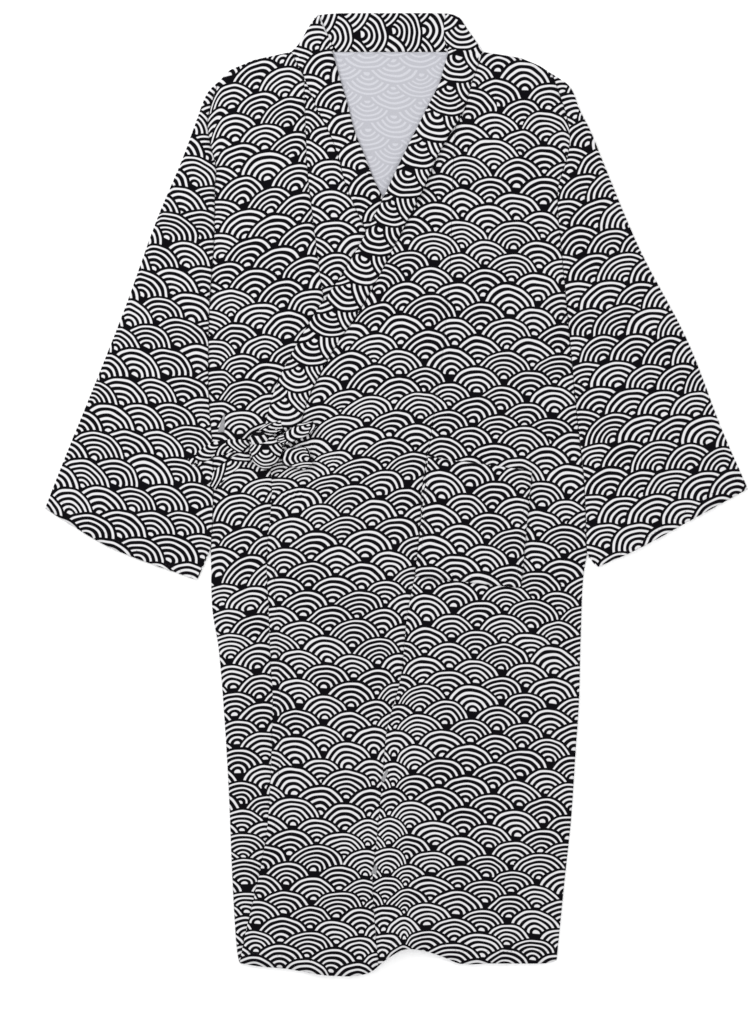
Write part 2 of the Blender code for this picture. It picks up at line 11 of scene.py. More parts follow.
import bmesh
import bpy
import numpy as np
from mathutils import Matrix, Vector


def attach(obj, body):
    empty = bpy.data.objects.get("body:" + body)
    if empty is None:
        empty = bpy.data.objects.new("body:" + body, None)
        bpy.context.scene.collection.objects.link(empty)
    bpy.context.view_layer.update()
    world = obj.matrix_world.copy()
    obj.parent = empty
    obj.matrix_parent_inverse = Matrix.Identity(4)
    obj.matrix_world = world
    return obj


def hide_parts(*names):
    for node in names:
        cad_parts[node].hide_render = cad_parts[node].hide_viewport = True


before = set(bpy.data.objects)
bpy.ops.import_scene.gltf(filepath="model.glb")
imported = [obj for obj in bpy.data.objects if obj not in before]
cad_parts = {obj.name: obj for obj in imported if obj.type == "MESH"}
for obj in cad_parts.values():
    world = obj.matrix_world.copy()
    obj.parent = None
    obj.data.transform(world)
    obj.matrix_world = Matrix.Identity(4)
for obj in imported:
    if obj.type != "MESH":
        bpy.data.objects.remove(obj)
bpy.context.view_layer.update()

MM = 0.001

# %% [markdown]
# The photograph looks straight down. A long lens far away keeps the flat cloth free of perspective.
# The picture's long side takes in 1.28 m at the floor.

# %% Camera
SEEN_HEIGHT = 1.28
LENS = 100.0
SENSOR = 36.0
camera_data = bpy.data.cameras.new("camera")
camera_data.lens = LENS
camera_data.sensor_width = SENSOR
camera = bpy.data.objects.new("camera", camera_data)
bpy.context.scene.collection.objects.link(camera)
camera.location = (-0.0269, -0.0219, SEEN_HEIGHT * LENS / SENSOR)
bpy.context.scene.camera = camera
print("camera height:", round(camera.location.z, 3))

# %% [markdown]
# The light is that of a product picture: a bright even room and two wide soft lamps, one stronger than
# the other, so that folds get a gentle light side and dark side. The floor is plain and nearly white.

# %% Light and floor
def soft_lamp(name, place, size, power):
    """A wide area lamp that faces the middle of the robe."""
    data = bpy.data.lights.new(name, "AREA")
    data.shape = "DISK"
    data.size = size
    data.energy = power
    lamp = bpy.data.objects.new(name, data)
    bpy.context.scene.collection.objects.link(lamp)
    lamp.location = place
    lamp.rotation_euler = (-Vector(place)).to_track_quat("-Z", "Y").to_euler()
    return lamp


soft_lamp("lamp_key", (-1.9, 1.6, 1.5), 1.1, 36.0)
soft_lamp("lamp_fill", (1.8, -0.6, 2.6), 2.2, 15.0)

world = bpy.data.worlds.new("room")
world.use_nodes = True
world.node_tree.nodes["Background"].inputs["Color"].default_value = (1.0, 1.0, 1.0, 1.0)
world.node_tree.nodes["Background"].inputs["Strength"].default_value = 1.0
bpy.context.scene.world = world
bpy.context.scene.view_settings.view_transform = "Standard"

FLOOR_HALF = 14.0
floor_mesh = bpy.data.meshes.new("floor")
floor_mesh.from_pydata([(-FLOOR_HALF, -FLOOR_HALF, 0), (FLOOR_HALF, -FLOOR_HALF, 0),
                        (FLOOR_HALF, FLOOR_HALF, 0), (-FLOOR_HALF, FLOOR_HALF, 0)], [], [(0, 1, 2, 3)])
floor = bpy.data.objects.new("floor", floor_mesh)
bpy.context.scene.collection.objects.link(floor)
floor_paint = bpy.data.materials.new("floor_paint")
floor_paint.use_nodes = True
floor_paint.node_tree.nodes["Principled BSDF"].inputs["Base Color"].default_value = (0.985, 0.985, 0.985, 1)
floor_paint.node_tree.nodes["Principled BSDF"].inputs["Roughness"].default_value = 0.8
floor_mesh.materials.append(floor_paint)
print("lamps: 2, floor:", 2 * FLOOR_HALF, "m")

# %% [markdown]
# Next come the finishes. The robe's whole look is its print: the old wave pattern of overlapping half
# rings, drawn by hand in white lines on black. Drawing it as a picture would fix its size, so it is worked
# out in a node group from the cloth's own coordinates, which each piece keeps in a UV map called Cloth.
# A small helper keeps the node code short: it adds a node, sets or links its inputs, and gives its output.

# %% Node helpers
def add_node(tree, kind, inputs=(), output=0, **settings):
    """Adds a node, sets or links its inputs in order, and returns one output."""
    node = tree.nodes.new(kind)
    for key, value in settings.items():
        setattr(node, key, value)
    for place, value in enumerate(inputs):
        if isinstance(value, bpy.types.NodeSocket):
            tree.links.new(value, node.inputs[place])
        elif value is not None:
            node.inputs[place].default_value = value
    return node.outputs[output]


def maths(tree, operation, *values):
    return add_node(tree, "ShaderNodeMath", values, operation=operation)


def soft_step(tree, value, low, high):
    """0 below low, 1 above high, smooth between them."""
    return add_node(tree, "ShaderNodeMapRange", (value, low, high, 0.0, 1.0),
                    interpolation_type="SMOOTHSTEP")


def new_group(name, inputs, outputs):
    """A shader node group with named sockets, and its input and output nodes."""
    tree = bpy.data.node_groups.new(name, "ShaderNodeTree")
    for label, kind, default in inputs:
        socket = tree.interface.new_socket(label, in_out="INPUT", socket_type=kind)
        if default is not None:
            socket.default_value = default
    for label, kind in outputs:
        tree.interface.new_socket(label, in_out="OUTPUT", socket_type=kind)
    return tree, tree.nodes.new("NodeGroupInput").outputs, tree.nodes.new("NodeGroupOutput").inputs


def place_group(tree, group, **values):
    """Places a group in another tree. Underscores in the names stand for spaces."""
    node = tree.nodes.new("ShaderNodeGroup")
    node.node_tree = group
    for label, value in values.items():
        socket = node.inputs[label.replace("_", " ")]
        if isinstance(value, bpy.types.NodeSocket):
            tree.links.new(value, socket)
        else:
            socket.default_value = value
    return node.outputs


print("node helpers ready")

# %% [markdown]
# One wave is a stack of rings round a dot, of which only the upper half shows. The group below draws the
# wave of one row that is nearest to a point. A random number for each wave moves its middle a little, leans
# it and changes its size, and its rings are shared out evenly between its edge and its dot. That gives
# four or five rings, as a hand would draw them. Reach says whether the point is inside this wave.

# %% One wave of the print
WAVE_WIDTH = 66.0 * MM
ROW_HEIGHT = 20.0 * MM
LINE_PITCH = 6.65 * MM
WAVE_RADIUS = 35.3 * MM
DOT = 0.66
FLOAT, VECTOR, COLOR = "NodeSocketFloat", "NodeSocketVector", "NodeSocketColor"


def make_one_wave():
    tree, given, result = new_group(
        "one_wave",
        [("Across", FLOAT, 0.0), ("Along", FLOAT, 0.0), ("Row", FLOAT, 0.0), ("Unevenness", FLOAT, 0.0),
         ("Wave Width", FLOAT, WAVE_WIDTH), ("Row Height", FLOAT, ROW_HEIGHT),
         ("Line Pitch", FLOAT, LINE_PITCH), ("Radius", FLOAT, WAVE_RADIUS), ("Seed", FLOAT, 1.0)],
        [("Line", FLOAT), ("Reach", FLOAT)])

    def m(operation, *values):
        return maths(tree, operation, *values)

    shift = m("MULTIPLY", m("FLOORED_MODULO", given["Row"], 2.0), 0.5)
    column = m("ROUND", m("SUBTRACT", m("DIVIDE", given["Across"], given["Wave Width"]), shift))
    key = add_node(tree, "ShaderNodeCombineXYZ", (column, given["Row"], given["Seed"]))
    noise = tree.nodes.new("ShaderNodeTexWhiteNoise")
    tree.links.new(key, noise.inputs["Vector"])
    split = tree.nodes.new("ShaderNodeSeparateColor")
    tree.links.new(noise.outputs["Color"], split.inputs["Color"])
    rolls = [m("SUBTRACT", roll, 0.5) for roll in (*split.outputs, noise.outputs["Value"])]
    middle_u = m("MULTIPLY_ADD", m("ADD", column, shift), given["Wave Width"], m("MULTIPLY", rolls[0], 4.0 * MM))
    middle_v = m("MULTIPLY_ADD", given["Row"], given["Row Height"], m("MULTIPLY", rolls[1], 3.8 * MM))
    away_v = m("SUBTRACT", given["Along"], middle_v)
    away_u = m("SUBTRACT", given["Across"], middle_u)
    away_u = m("MULTIPLY_ADD", away_v, m("MULTIPLY", rolls[3], 0.3), away_u)
    away = m("SQRT", m("ADD", m("MULTIPLY", away_u, away_u), m("MULTIPLY", away_v, away_v)))
    away = m("ADD", away, given["Unevenness"])
    radius = m("MULTIPLY_ADD", rolls[2], 7.0 * MM, given["Radius"])
    rings = m("ROUND", m("SUBTRACT", m("DIVIDE", radius, given["Line Pitch"]), DOT + 0.41))
    pitch = m("DIVIDE", radius, m("ADD", rings, DOT + 0.41))
    turn = m("DIVIDE", m("SUBTRACT", radius, away), pitch)
    from_line = m("ABSOLUTE", m("SUBTRACT", m("FRACT", m("SUBTRACT", turn, 0.18)), 0.5))
    width = m("MULTIPLY_ADD", rolls[0], 0.04, 0.198)
    line = m("SUBTRACT", 1.0, soft_step(tree, m("SUBTRACT", from_line, width), -0.06, 0.06))
    dot = soft_step(tree, m("SUBTRACT", turn, rings), 0.42, 0.54)
    line = m("MAXIMUM", line, dot)
    upper = soft_step(tree, m("DIVIDE", away_v, pitch), -0.12, 0.02)
    tree.links.new(m("MULTIPLY", line, upper), result["Line"])
    tree.links.new(m("LESS_THAN", away, radius), result["Reach"])
    return tree


ONE_WAVE = make_one_wave()
print("one_wave nodes:", len(ONE_WAVE.nodes))

# %% [markdown]
# Waves overlap like roof tiles: the lowest row that reaches a point hides the rows above it. So the whole
# print asks three rows in turn, from the lowest, and takes the first that reaches. The coordinates are
# pushed about a little before that, which bends every line as an unsteady hand does.

# %% The whole print
def make_wave_print():
    tree, given, result = new_group(
        "wave_print", [("Cloth", VECTOR, None), ("Wave Width", FLOAT, WAVE_WIDTH),
                       ("Row Height", FLOAT, ROW_HEIGHT), ("Line Pitch", FLOAT, LINE_PITCH),
                       ("Radius", FLOAT, WAVE_RADIUS), ("Seed", FLOAT, 1.0)], [("Line", FLOAT)])
    hand = tree.nodes.new("ShaderNodeTexNoise")
    hand.noise_dimensions = "2D"
    hand.inputs["Scale"].default_value = 26.0
    hand.inputs["Detail"].default_value = 0.5
    tree.links.new(given["Cloth"], hand.inputs["Vector"])
    unsteady = add_node(tree, "ShaderNodeVectorMath", (hand.outputs["Color"], (0.5, 0.5, 0.5)),
                        operation="SUBTRACT")
    moved = add_node(tree, "ShaderNodeVectorMath", (unsteady, (3.6 * MM, 3.6 * MM, 0), given["Cloth"]),
                     operation="MULTIPLY_ADD")
    place = tree.nodes.new("ShaderNodeSeparateXYZ")
    tree.links.new(moved, place.inputs[0])
    thick = tree.nodes.new("ShaderNodeTexNoise")
    thick.noise_dimensions = "2D"
    thick.inputs["Scale"].default_value = 70.0
    thick.inputs["Detail"].default_value = 0.0
    tree.links.new(given["Cloth"], thick.inputs["Vector"])
    uneven = maths(tree, "MULTIPLY", maths(tree, "SUBTRACT", thick.outputs[0], 0.5), 1.5 * MM)
    row = maths(tree, "FLOOR", maths(tree, "DIVIDE", place.outputs["Y"], given["Row Height"]))
    waves = []
    for step in (-1.0, 0.0, 1.0):
        waves.append(place_group(tree, ONE_WAVE, Across=place.outputs["X"], Along=place.outputs["Y"],
                                 Row=maths(tree, "ADD", row, step), Unevenness=uneven,
                                 Wave_Width=given["Wave Width"], Row_Height=given["Row Height"],
                                 Line_Pitch=given["Line Pitch"], Radius=given["Radius"],
                                 Seed=given["Seed"]))
    low, middle, high = waves
    line = add_node(tree, "ShaderNodeMix", (middle["Reach"], None, high["Line"], middle["Line"]))
    line = add_node(tree, "ShaderNodeMix", (low["Reach"], None, line, low["Line"]))
    tree.links.new(line, result["Line"])
    return tree


WAVE_PRINT = make_wave_print()
print("wave_print nodes:", len(WAVE_PRINT.nodes))

# %% [markdown]
# Plain-weave cotton has threads that go over and under each other. At arm's length they only break up the
# light, so a group gives a small height and a faint fleck in the colour, finer than the print's lines.

# %% Weave, and a fold mask for wear and painted shade
def make_cotton_weave():
    tree, given, result = new_group(
        "cotton_weave", [("Cloth", VECTOR, None), ("Thread Pitch", FLOAT, 0.55 * MM)],
        [("Height", FLOAT), ("Fleck", FLOAT)])
    place = tree.nodes.new("ShaderNodeSeparateXYZ")
    tree.links.new(given["Cloth"], place.inputs[0])
    u, v = (maths(tree, "DIVIDE", place.outputs[k], given["Thread Pitch"]) for k in "XY")
    cell = maths(tree, "FLOORED_MODULO", maths(tree, "ADD", maths(tree, "FLOOR", u), maths(tree, "FLOOR", v)), 2.0)
    warp = maths(tree, "SINE", maths(tree, "MULTIPLY", maths(tree, "FRACT", u), math.pi))
    weft = maths(tree, "SINE", maths(tree, "MULTIPLY", maths(tree, "FRACT", v), math.pi))
    thread = add_node(tree, "ShaderNodeMix", (cell, None, warp, weft))
    slub = tree.nodes.new("ShaderNodeTexNoise")
    slub.noise_dimensions = "2D"
    slub.inputs["Scale"].default_value = 900.0
    slub.inputs["Detail"].default_value = 2.0
    tree.links.new(given["Cloth"], slub.inputs["Vector"])
    tree.links.new(maths(tree, "MULTIPLY_ADD", slub.outputs[0], 0.8, thread), result["Height"])
    tree.links.new(slub.outputs[0], result["Fleck"])
    return tree


# A mask from the fold attribute, with ragged edges from noise. On the printed side it marks wear along the collar's
# pressed turn. On the reverse it marks painted shade on the turned bits.
def make_fold_wear_and_shade():
    tree, given, result = new_group(
        "fold_wear_and_shade", [("Cloth", VECTOR, None), ("Fold", FLOAT, 0.0)], [("Wear And Shade", FLOAT)])
    wear_and_shade_noise = tree.nodes.new("ShaderNodeTexNoise")
    wear_and_shade_noise.noise_dimensions = "2D"
    wear_and_shade_noise.inputs["Scale"].default_value = 260.0
    tree.links.new(given["Cloth"], wear_and_shade_noise.inputs["Vector"])
    reach = maths(tree, "ADD", given["Fold"], maths(tree, "MULTIPLY_ADD", wear_and_shade_noise.outputs[0], 0.7, -0.35))
    tree.links.new(soft_step(tree, reach, 0.45, 0.95), result["Wear And Shade"])
    return tree


COTTON_WEAVE = make_cotton_weave()
FOLD_WEAR_AND_SHADE = make_fold_wear_and_shade()
print("weave nodes:", len(COTTON_WEAVE.nodes), "worn fold nodes:", len(FOLD_WEAR_AND_SHADE.nodes))

# %% [markdown]
# The right side of the cloth has white lines on black ink that soaked into the threads. The reverse side
# shows the same lines faintly, pale grey on paler grey. Both are the same cotton, so one function makes
# both and only the two colours differ. Cotton is matt with a very soft bloom, given by the sheen.

# %% The two sides of the cotton
def make_cotton(name, ground, drawn, wear_and_shade, wear_and_shade_share, roughness):
    material = bpy.data.materials.new(name)
    material.use_nodes = True
    tree = material.node_tree
    shader = tree.nodes["Principled BSDF"]
    cloth = tree.nodes.new("ShaderNodeUVMap")
    cloth.uv_map = "Cloth"
    cloth = cloth.outputs[0]
    line = place_group(tree, WAVE_PRINT, Cloth=cloth)["Line"]
    weave = place_group(tree, COTTON_WEAVE, Cloth=cloth)
    fold = tree.nodes.new("ShaderNodeAttribute")
    fold.attribute_name = "fold"
    wear_and_shade_mask = place_group(tree, FOLD_WEAR_AND_SHADE, Cloth=cloth, Fold=fold.outputs["Fac"])["Wear And Shade"]

    def blend(kind, share, first, second):
        return add_node(tree, "ShaderNodeMixRGB", (share, first, second), blend_type=kind)

    color = blend("MIX", line, (*ground, 1), (*drawn, 1))
    # Where the fold mask is set, the colour is mixed towards the fold colour: wear on the print, painted shade on
    # the reverse.
    color = blend("MIX", maths(tree, "MULTIPLY", wear_and_shade_mask, wear_and_shade_share), color, (*wear_and_shade, 1))
    fleck = maths(tree, "MULTIPLY_ADD", weave["Fleck"], 0.24, 0.87)
    color = blend("MULTIPLY", 1.0, color, fleck)
    tree.links.new(color, shader.inputs["Base Color"])
    rough = maths(tree, "MULTIPLY_ADD", weave["Fleck"], 0.16, roughness)
    tree.links.new(maths(tree, "MULTIPLY_ADD", line, 0.05, rough), shader.inputs["Roughness"])
    bump = tree.nodes.new("ShaderNodeBump")
    bump.inputs["Strength"].default_value = 0.22
    bump.inputs["Distance"].default_value = 0.25 * MM
    tree.links.new(weave["Height"], bump.inputs["Height"])
    tree.links.new(bump.outputs[0], shader.inputs["Normal"])
    shader.inputs["Sheen Weight"].default_value = 0.01
    shader.inputs["Sheen Roughness"].default_value = 0.5
    shader.inputs["Specular IOR Level"].default_value = 0.03
    return material


INK, CHALK = (0.0032, 0.0028, 0.0042), (0.678, 0.673, 0.687)
PALE, PALER = (0.424, 0.427, 0.466), (0.522, 0.527, 0.569)
# The third colour is the fold colour: a grey for wear on the printed side, and on the reverse a dark grey that is
# painted shade.
printed_cotton = make_cotton("printed_cotton", INK, CHALK, (0.56, 0.56, 0.57), 0.8, 0.78)
cotton_reverse = make_cotton("cotton_reverse", PALE, PALER, (0.27, 0.27, 0.28), 1.0, 0.8)
print("materials:", printed_cotton.name, cotton_reverse.name)

# %% [markdown]
# The pieces share their seams with the solids, so the scene repeats the part's tables of outlines, seams
# and folds, in millimetres. Sides are the wearer's: the viewer sees the wearer's right on the left.

# %% Layers of cloth
CLOTH = 1.2
SEAM = 0.12
REST = 0.4
BAND = 2.4
FLOOR = 0.0
UNDER = FLOOR + CLOTH + REST
OVER = UNDER + CLOTH + REST
OVER_BAND = UNDER + BAND + REST
POCKET_LIFT = CLOTH + REST
HIDDEN_INSET = 2.0
NECK_SEAM_Y = 553.0
TIP_SHARE = 0.35
print("layers above the floor:", UNDER, OVER, round(OVER_BAND, 2), "mm")

# %% Outline of the body
# Each row is x, y.
SHOULDER_RIGHT = [(-223, 515), (-208, 530.5), (-178, 543), (-133, 554)]
SHOULDER_LEFT = [(108, 555), (155, 545.5), (179, 535.5), (195, 525)]
ARMHOLE_RIGHT = [(-223, 515), (-236, 468), (-233.5, 440), (-225.5, 408), (-227, 388), (-228, 320), (-234, 235),
                 (-235, 125), (-230, 55), (-229.5, -7), (-232, -66)]
ARMHOLE_LEFT = [(195, 525), (202, 505), (210, 482), (215.5, 460), (216.5, 440), (213.5, 420), (207.5, 402),
                (202.5, 385), (201.5, 365), (203.5, 333), (207, 298), (217, 192), (225.5, 100),
                (234.5, 17), (238, -74)]
SIDE_RIGHT = [(-232, -66), (-230, -144), (-222, -194), (-214, -294), (-209, -382), (-205.5, -470),
              (-200.5, -557), (-197, -585)]
SIDE_LEFT = [(238, -74), (233, -107), (230, -182), (228, -257), (223, -332), (218, -407),
             (210, -482), (200, -582)]
HEM = [(-197, -585), (-170, -589.5), (-140, -592), (-90, -600), (-60, -601.5), (-40, -599),
       (-30, -595), (-20, -586), (-10, -578), (9, -567.5), (29, -568), (58, -577), (80, -586),
       (119, -585.5), (188, -585.5), (200, -582)]
print("outline points:", len(HEM) + len(SIDE_LEFT) + len(SIDE_RIGHT) + len(ARMHOLE_LEFT) + len(ARMHOLE_RIGHT))

# %% Seams between the fronts and their overlap panels, and free edges
OKUMI_RIGHT = [(-114, 470), (-111, 402), (-101, 316), (-92, 250), (-78, 168), (-63, 80),
               (-54, -32), (-48, -157), (-43, -320), (-39, -599)]
OKUMI_LEFT = [(70, 393), (68, 318), (65, 250), (55, 155), (42, 68), (32, 8), (30, -44),
              (24, -94), (13, -154), (5, -230), (-12, -294), (-17, -349), (-25, -432),
              (-30, -482), (-23, -587)]
UNDER_FREE_EDGE = [(126, 100), (142, 5), (145, -132), (143, -382), (140, -584)]
OVER_FREE_EDGE = [(-163, 70), (-157, 30), (-155.5, 5), (-162, -85), (-160, -135), (-157, -210),
                  (-154.5, -260), (-159.5, -395), (-167, -453), (-179.5, -510), (-188, -545),
                  (-196, -585)]
print("free edges end at y", UNDER_FREE_EDGE[-1][1], "and", OVER_FREE_EDGE[-1][1])

# %% Collar band
# From the neck down. The seam edge is sewn to the body and the other edge is free.
COLLAR_SEAM_RIGHT = [(-131, 553), (-114, 518), (-100, 484), (-85, 455), (-73, 424), (-65, 393),
                     (-53, 362), (-28, 310), (-1, 258), (19, 224), (49, 179), (74, 132), (83, 103)]
COLLAR_EDGE_RIGHT = [(-79.5, 551), (-70, 518), (-60, 484), (-52, 453), (-40, 424), (-28, 393),
                     (-13, 364), (14, 314), (42, 267), (67, 232), (92, 190), (113, 150), (128, 108)]
COLLAR_SEAM_LEFT = [(107, 553), (102, 537), (93, 512), (87, 488), (80, 472), (53, 427), (34, 383),
                    (-3, 310), (-30, 258), (-50, 224), (-80, 179), (-105, 132), (-114, 109), (-122, 82)]
COLLAR_EDGE_LEFT = [(64.5, 551), (60, 537), (54, 515), (44, 495), (34, 475), (10, 427), (-14, 376),
                    (-45, 314), (-73, 267), (-98, 232), (-123, 190), (-144, 150), (-158, 112), (-166, 74)]

# The band's turn round the back of the neck. under is the height of its underside.
Band = namedtuple("Band", "seam_x seam_y edge_x edge_y under")
COLLAR_NECK = [
    Band(-122, 563, -80.5, 553.3, 1.5),
    Band(-107, 588, -80, 555, 1.0),
    Band(-96, 599, -77.5, 556, 0.5),
    Band(-77, 601, -68, 553, FLOOR),
    Band(-45, 601.5, -40, 553, FLOOR),
    Band(-8, 601.5, -8, 553, FLOOR),
    Band(30, 601.5, 26, 553, FLOOR),
    Band(60, 601, 53, 553, FLOOR),
    Band(77, 597, 61, 556, 0.5),
    Band(88, 582, 64, 555, 1.0),
    Band(100, 565, 65, 553.3, 1.5),
]
# Height of the over band's underside on its way down, by y
OVER_BAND_RISE = [(553, UNDER), (500, 1.8), (430, 3.4), (405, OVER_BAND), (255, OVER_BAND),
                  (205, OVER), (60, OVER)]
# Where the layers under the left front end, by y
UNDER_LIMIT = [(602, -100), (553, -79), (393, -28), (314, 14), (232, 67), (150, 113), (98, 128),
               (5, 142), (-132, 145), (-382, 143), (-602, 140)]
print("collar sections at the neck:", len(COLLAR_NECK))

# %% Sleeves and pocket
# Seen flat. The top edge is the fold, the lower edge the seam under the arm.
SLEEVE_RIGHT_TOP = [(-223, 515), (-234, 505), (-241, 492), (-250, 467), (-268, 418), (-300, 342),
                    (-340, 231), (-385, 118), (-416, 42), (-439, -17)]
SLEEVE_LEFT_TOP = [(195, 525), (217, 509), (229, 480), (242, 455), (257, 418), (304, 306),
                   (363, 193), (407, 80), (439, 7)]
SLEEVE_RIGHT_LOWER = [(-232, -66), (-240, -86), (-249, -107)]
SLEEVE_LEFT_LOWER = [(238, -74), (244, -83), (250.5, -91)]
CUFF_RIGHT = [(-439, -17), (-418, -31), (-354, -68), (-249, -107)]
CUFF_LEFT = [(439, 7), (368, -32), (300, -69), (250.5, -91)]

POCKET_CORNERS = {"top_left": (39.5, 47), "top_right": (169, 29.5),
                  "bottom_right": (155.5, -117), "bottom_left": (23, -102)}
print("pocket corners:", list(POCKET_CORNERS))

# %% Large folds
# Soft ridges in the laid cloth: a line from one end to the other, the height of the ridge at each end
# and how far it spreads to each side
Fold = namedtuple("Fold", "x0 y0 x1 y1 high0 high1 spread")
OVER_FOLDS = [
    Fold(2, -300, 14, -590, 1.0, 8.0, 34),
    Fold(-80, 20, 0, -40, 2.6, 0.6, 13),
    Fold(-110, -20, -60, -110, 2.2, 0.5, 12),
    Fold(165, 470, 95, 300, 2.6, 0.8, 16),
    Fold(190, 260, 110, 150, 2.4, 0.6, 15),
    Fold(205, -150, 120, -270, 2.6, 0.6, 16),
    Fold(-95, -140, -70, -380, 1.2, 2.4, 17),
    Fold(120, -330, 130, -560, 1.2, 3.4, 20),
    Fold(-110, -420, -95, -590, 1.4, 3.6, 18),
    Fold(60, -180, 45, -300, 1.8, 1.2, 14),
]
UNDER_FOLDS = [
    Fold(-200, 470, -160, 300, 1.5, 0.5, 15),
    Fold(-205, 250, -170, 130, 1.6, 0.6, 13),
    Fold(-200, -60, -190, -330, 1.6, 0.8, 11),
]
SLEEVE_FOLDS = [
    Fold(-252, 440, -256, 250, 1.6, 0.8, 12),
    Fold(-290, 300, -280, 90, 1.2, 1.2, 15),
    Fold(-350, 150, -300, -60, 1.4, 1.8, 18),
    Fold(-395, 60, -375, -40, 1.0, 1.6, 14),
]
print("large folds:", len(OVER_FOLDS) + len(UNDER_FOLDS) + len(SLEEVE_FOLDS))

# %% [markdown]
# The solids have few points along each seam. The cloth needs many, so that its outline bends softly. A
# curve through the same points gives them, and each seam is sampled once, so that the two pieces sewn
# along it meet all the way. FINE is how many times finer the cloth's cells are.

# %% Curves and patches
FINE = 6


def rounded(line, cells):
    """Points at even steps along a smooth curve through a line of points."""
    p = np.array(line, float)
    p = np.vstack([2 * p[0] - p[1], p, 2 * p[-1] - p[-2]])
    pieces = []
    for a, b, c, d in zip(p, p[1:], p[2:], p[3:]):
        scale = np.linalg.norm(c - b)
        start = (c - a) / max(np.linalg.norm(c - a), 1e-9) * scale
        end = (d - b) / max(np.linalg.norm(d - b), 1e-9) * scale
        t = np.linspace(0, 1, 12, endpoint=False)[:, None]
        pieces.append((2 * t**3 - 3 * t**2 + 1) * b + (t**3 - 2 * t**2 + t) * start
                      + (3 * t**2 - 2 * t**3) * c + (t**3 - t**2) * end)
    dense = np.vstack([*pieces, p[-2:-1]])
    along = np.concatenate([[0], np.cumsum(np.linalg.norm(np.diff(dense, axis=0), axis=1))])
    at = np.linspace(0, along[-1], cells + 1)
    return np.stack([np.interp(at, along, dense[:, k]) for k in (0, 1)], axis=1)


def straight(line, cells):
    """Points at even steps along straight stretches."""
    p = np.array(line, float)
    along = np.concatenate([[0], np.cumsum(np.linalg.norm(np.diff(p, axis=0), axis=1))])
    at = np.linspace(0, along[-1], cells + 1)
    return np.stack([np.interp(at, along, p[:, k]) for k in (0, 1)], axis=1)


def beside(points, away):
    """Points moved square to their line, to the viewer's right where the line runs down."""
    step = np.gradient(points, axis=0)
    step /= np.linalg.norm(step, axis=1)[:, None]
    return points + away * np.stack([-step[:, 1], step[:, 0]], axis=1)


def patch(top, bottom, left, right):
    """A grid of points between four edges, of which opposite ones have as many points."""
    left = np.vstack([top[:1], left[1:-1], bottom[:1]])
    right = np.vstack([top[-1:], right[1:-1], bottom[-1:]])
    u = np.linspace(0, 1, len(top))[None, :, None]
    v = np.linspace(0, 1, len(left))[:, None, None]
    ruled = (1 - v) * top[None] + v * bottom[None] + (1 - u) * left[:, None] + u * right[:, None]
    corners = ((1 - u) * (1 - v) * top[0] + u * (1 - v) * top[-1]
               + (1 - u) * v * bottom[0] + u * v * bottom[-1])
    return ruled - corners


def at_place(table, place):
    """Values at places in a table of falling places and their values."""
    table = np.array(table, float)
    return np.interp(-np.asarray(place, float), -table[:, 0], table[:, 1])


def smooth(value):
    value = np.clip(value, 0.0, 1.0)
    return value * value * (3.0 - 2.0 * value)


ARMHOLE_SEAM_RIGHT = rounded(ARMHOLE_RIGHT, 12 * FINE)
ARMHOLE_SEAM_LEFT = rounded(ARMHOLE_LEFT, 12 * FINE)
SIDE_SEAM_RIGHT = rounded(SIDE_RIGHT, 12 * FINE)
SIDE_SEAM_LEFT = rounded(SIDE_LEFT, 14 * FINE)
BAND_SEAM_RIGHT = rounded(COLLAR_SEAM_RIGHT, 14 * FINE)
BAND_SEAM_LEFT = rounded(COLLAR_SEAM_LEFT, 16 * FINE)
TIP_RIGHT, TIP_LEFT = FINE, 3 * FINE
OKUMI_SEAM_RIGHT = rounded([tuple(BAND_SEAM_RIGHT[TIP_RIGHT])] + OKUMI_RIGHT, 23 * FINE)
OKUMI_SEAM_LEFT = rounded([tuple(BAND_SEAM_LEFT[TIP_LEFT])] + OKUMI_LEFT, 23 * FINE)
HEM_LINE = rounded(HEM, 240)
print("points on the left overlap seam:", len(OKUMI_SEAM_LEFT))

# %% [markdown]
# A robe that has been smoothed out by hand still has soft ridges where it was folded or lies over a seam.
# Each is a line with a height at both ends and a spread. The solids carry the large ones. The smaller
# creases are listed here too, uneven in length, height and spacing, and the cloth between them is
# never quite flat.

# %% Height of the cloth
def reach_of(x, y, ax, ay, bx, by):
    """Where the nearest point of a segment lies, from 0 to 1, and how far away it is."""
    dx, dy = bx - ax, by - ay
    along = np.clip(((x - ax) * dx + (y - ay) * dy) / (dx * dx + dy * dy), 0, 1)
    return along, np.hypot(x - ax - along * dx, y - ay - along * dy)


def far_from(x, y, line):
    """The distance from points to a line of points."""
    return np.minimum.reduce([reach_of(x, y, *a, *b)[1] for a, b in zip(line, line[1:])])


def ridges(x, y, folds):
    """The height that a table of folds adds."""
    total = np.zeros_like(np.asarray(x, float))
    for fold in folds:
        along, away = reach_of(x, y, fold.x0, fold.y0, fold.x1, fold.y1)
        total += (fold.high0 + (fold.high1 - fold.high0) * along) * np.exp(-((away / fold.spread) ** 2))
    return total


def ripple(x, y, seed, high=0.22):
    """The faint unevenness of cloth that lies loose."""
    rng = np.random.default_rng(seed)
    total = np.zeros_like(np.asarray(x, float))
    for length in (120.0, 84.0, 61.0, 47.0, 36.0, 28.0):
        turn, phase = rng.uniform(0, math.pi), rng.uniform(0, 2 * math.pi)
        total += np.sin((x * math.cos(turn) + y * math.sin(turn)) * 2 * math.pi / length + phase)
    return high * total * 0.6


HIDDEN_BAND_LINE = [((a[0] + b[0]) / 2, (a[1] + b[1]) / 2)
                    for a, b in zip(COLLAR_SEAM_RIGHT[5:], COLLAR_EDGE_RIGHT[5:])]


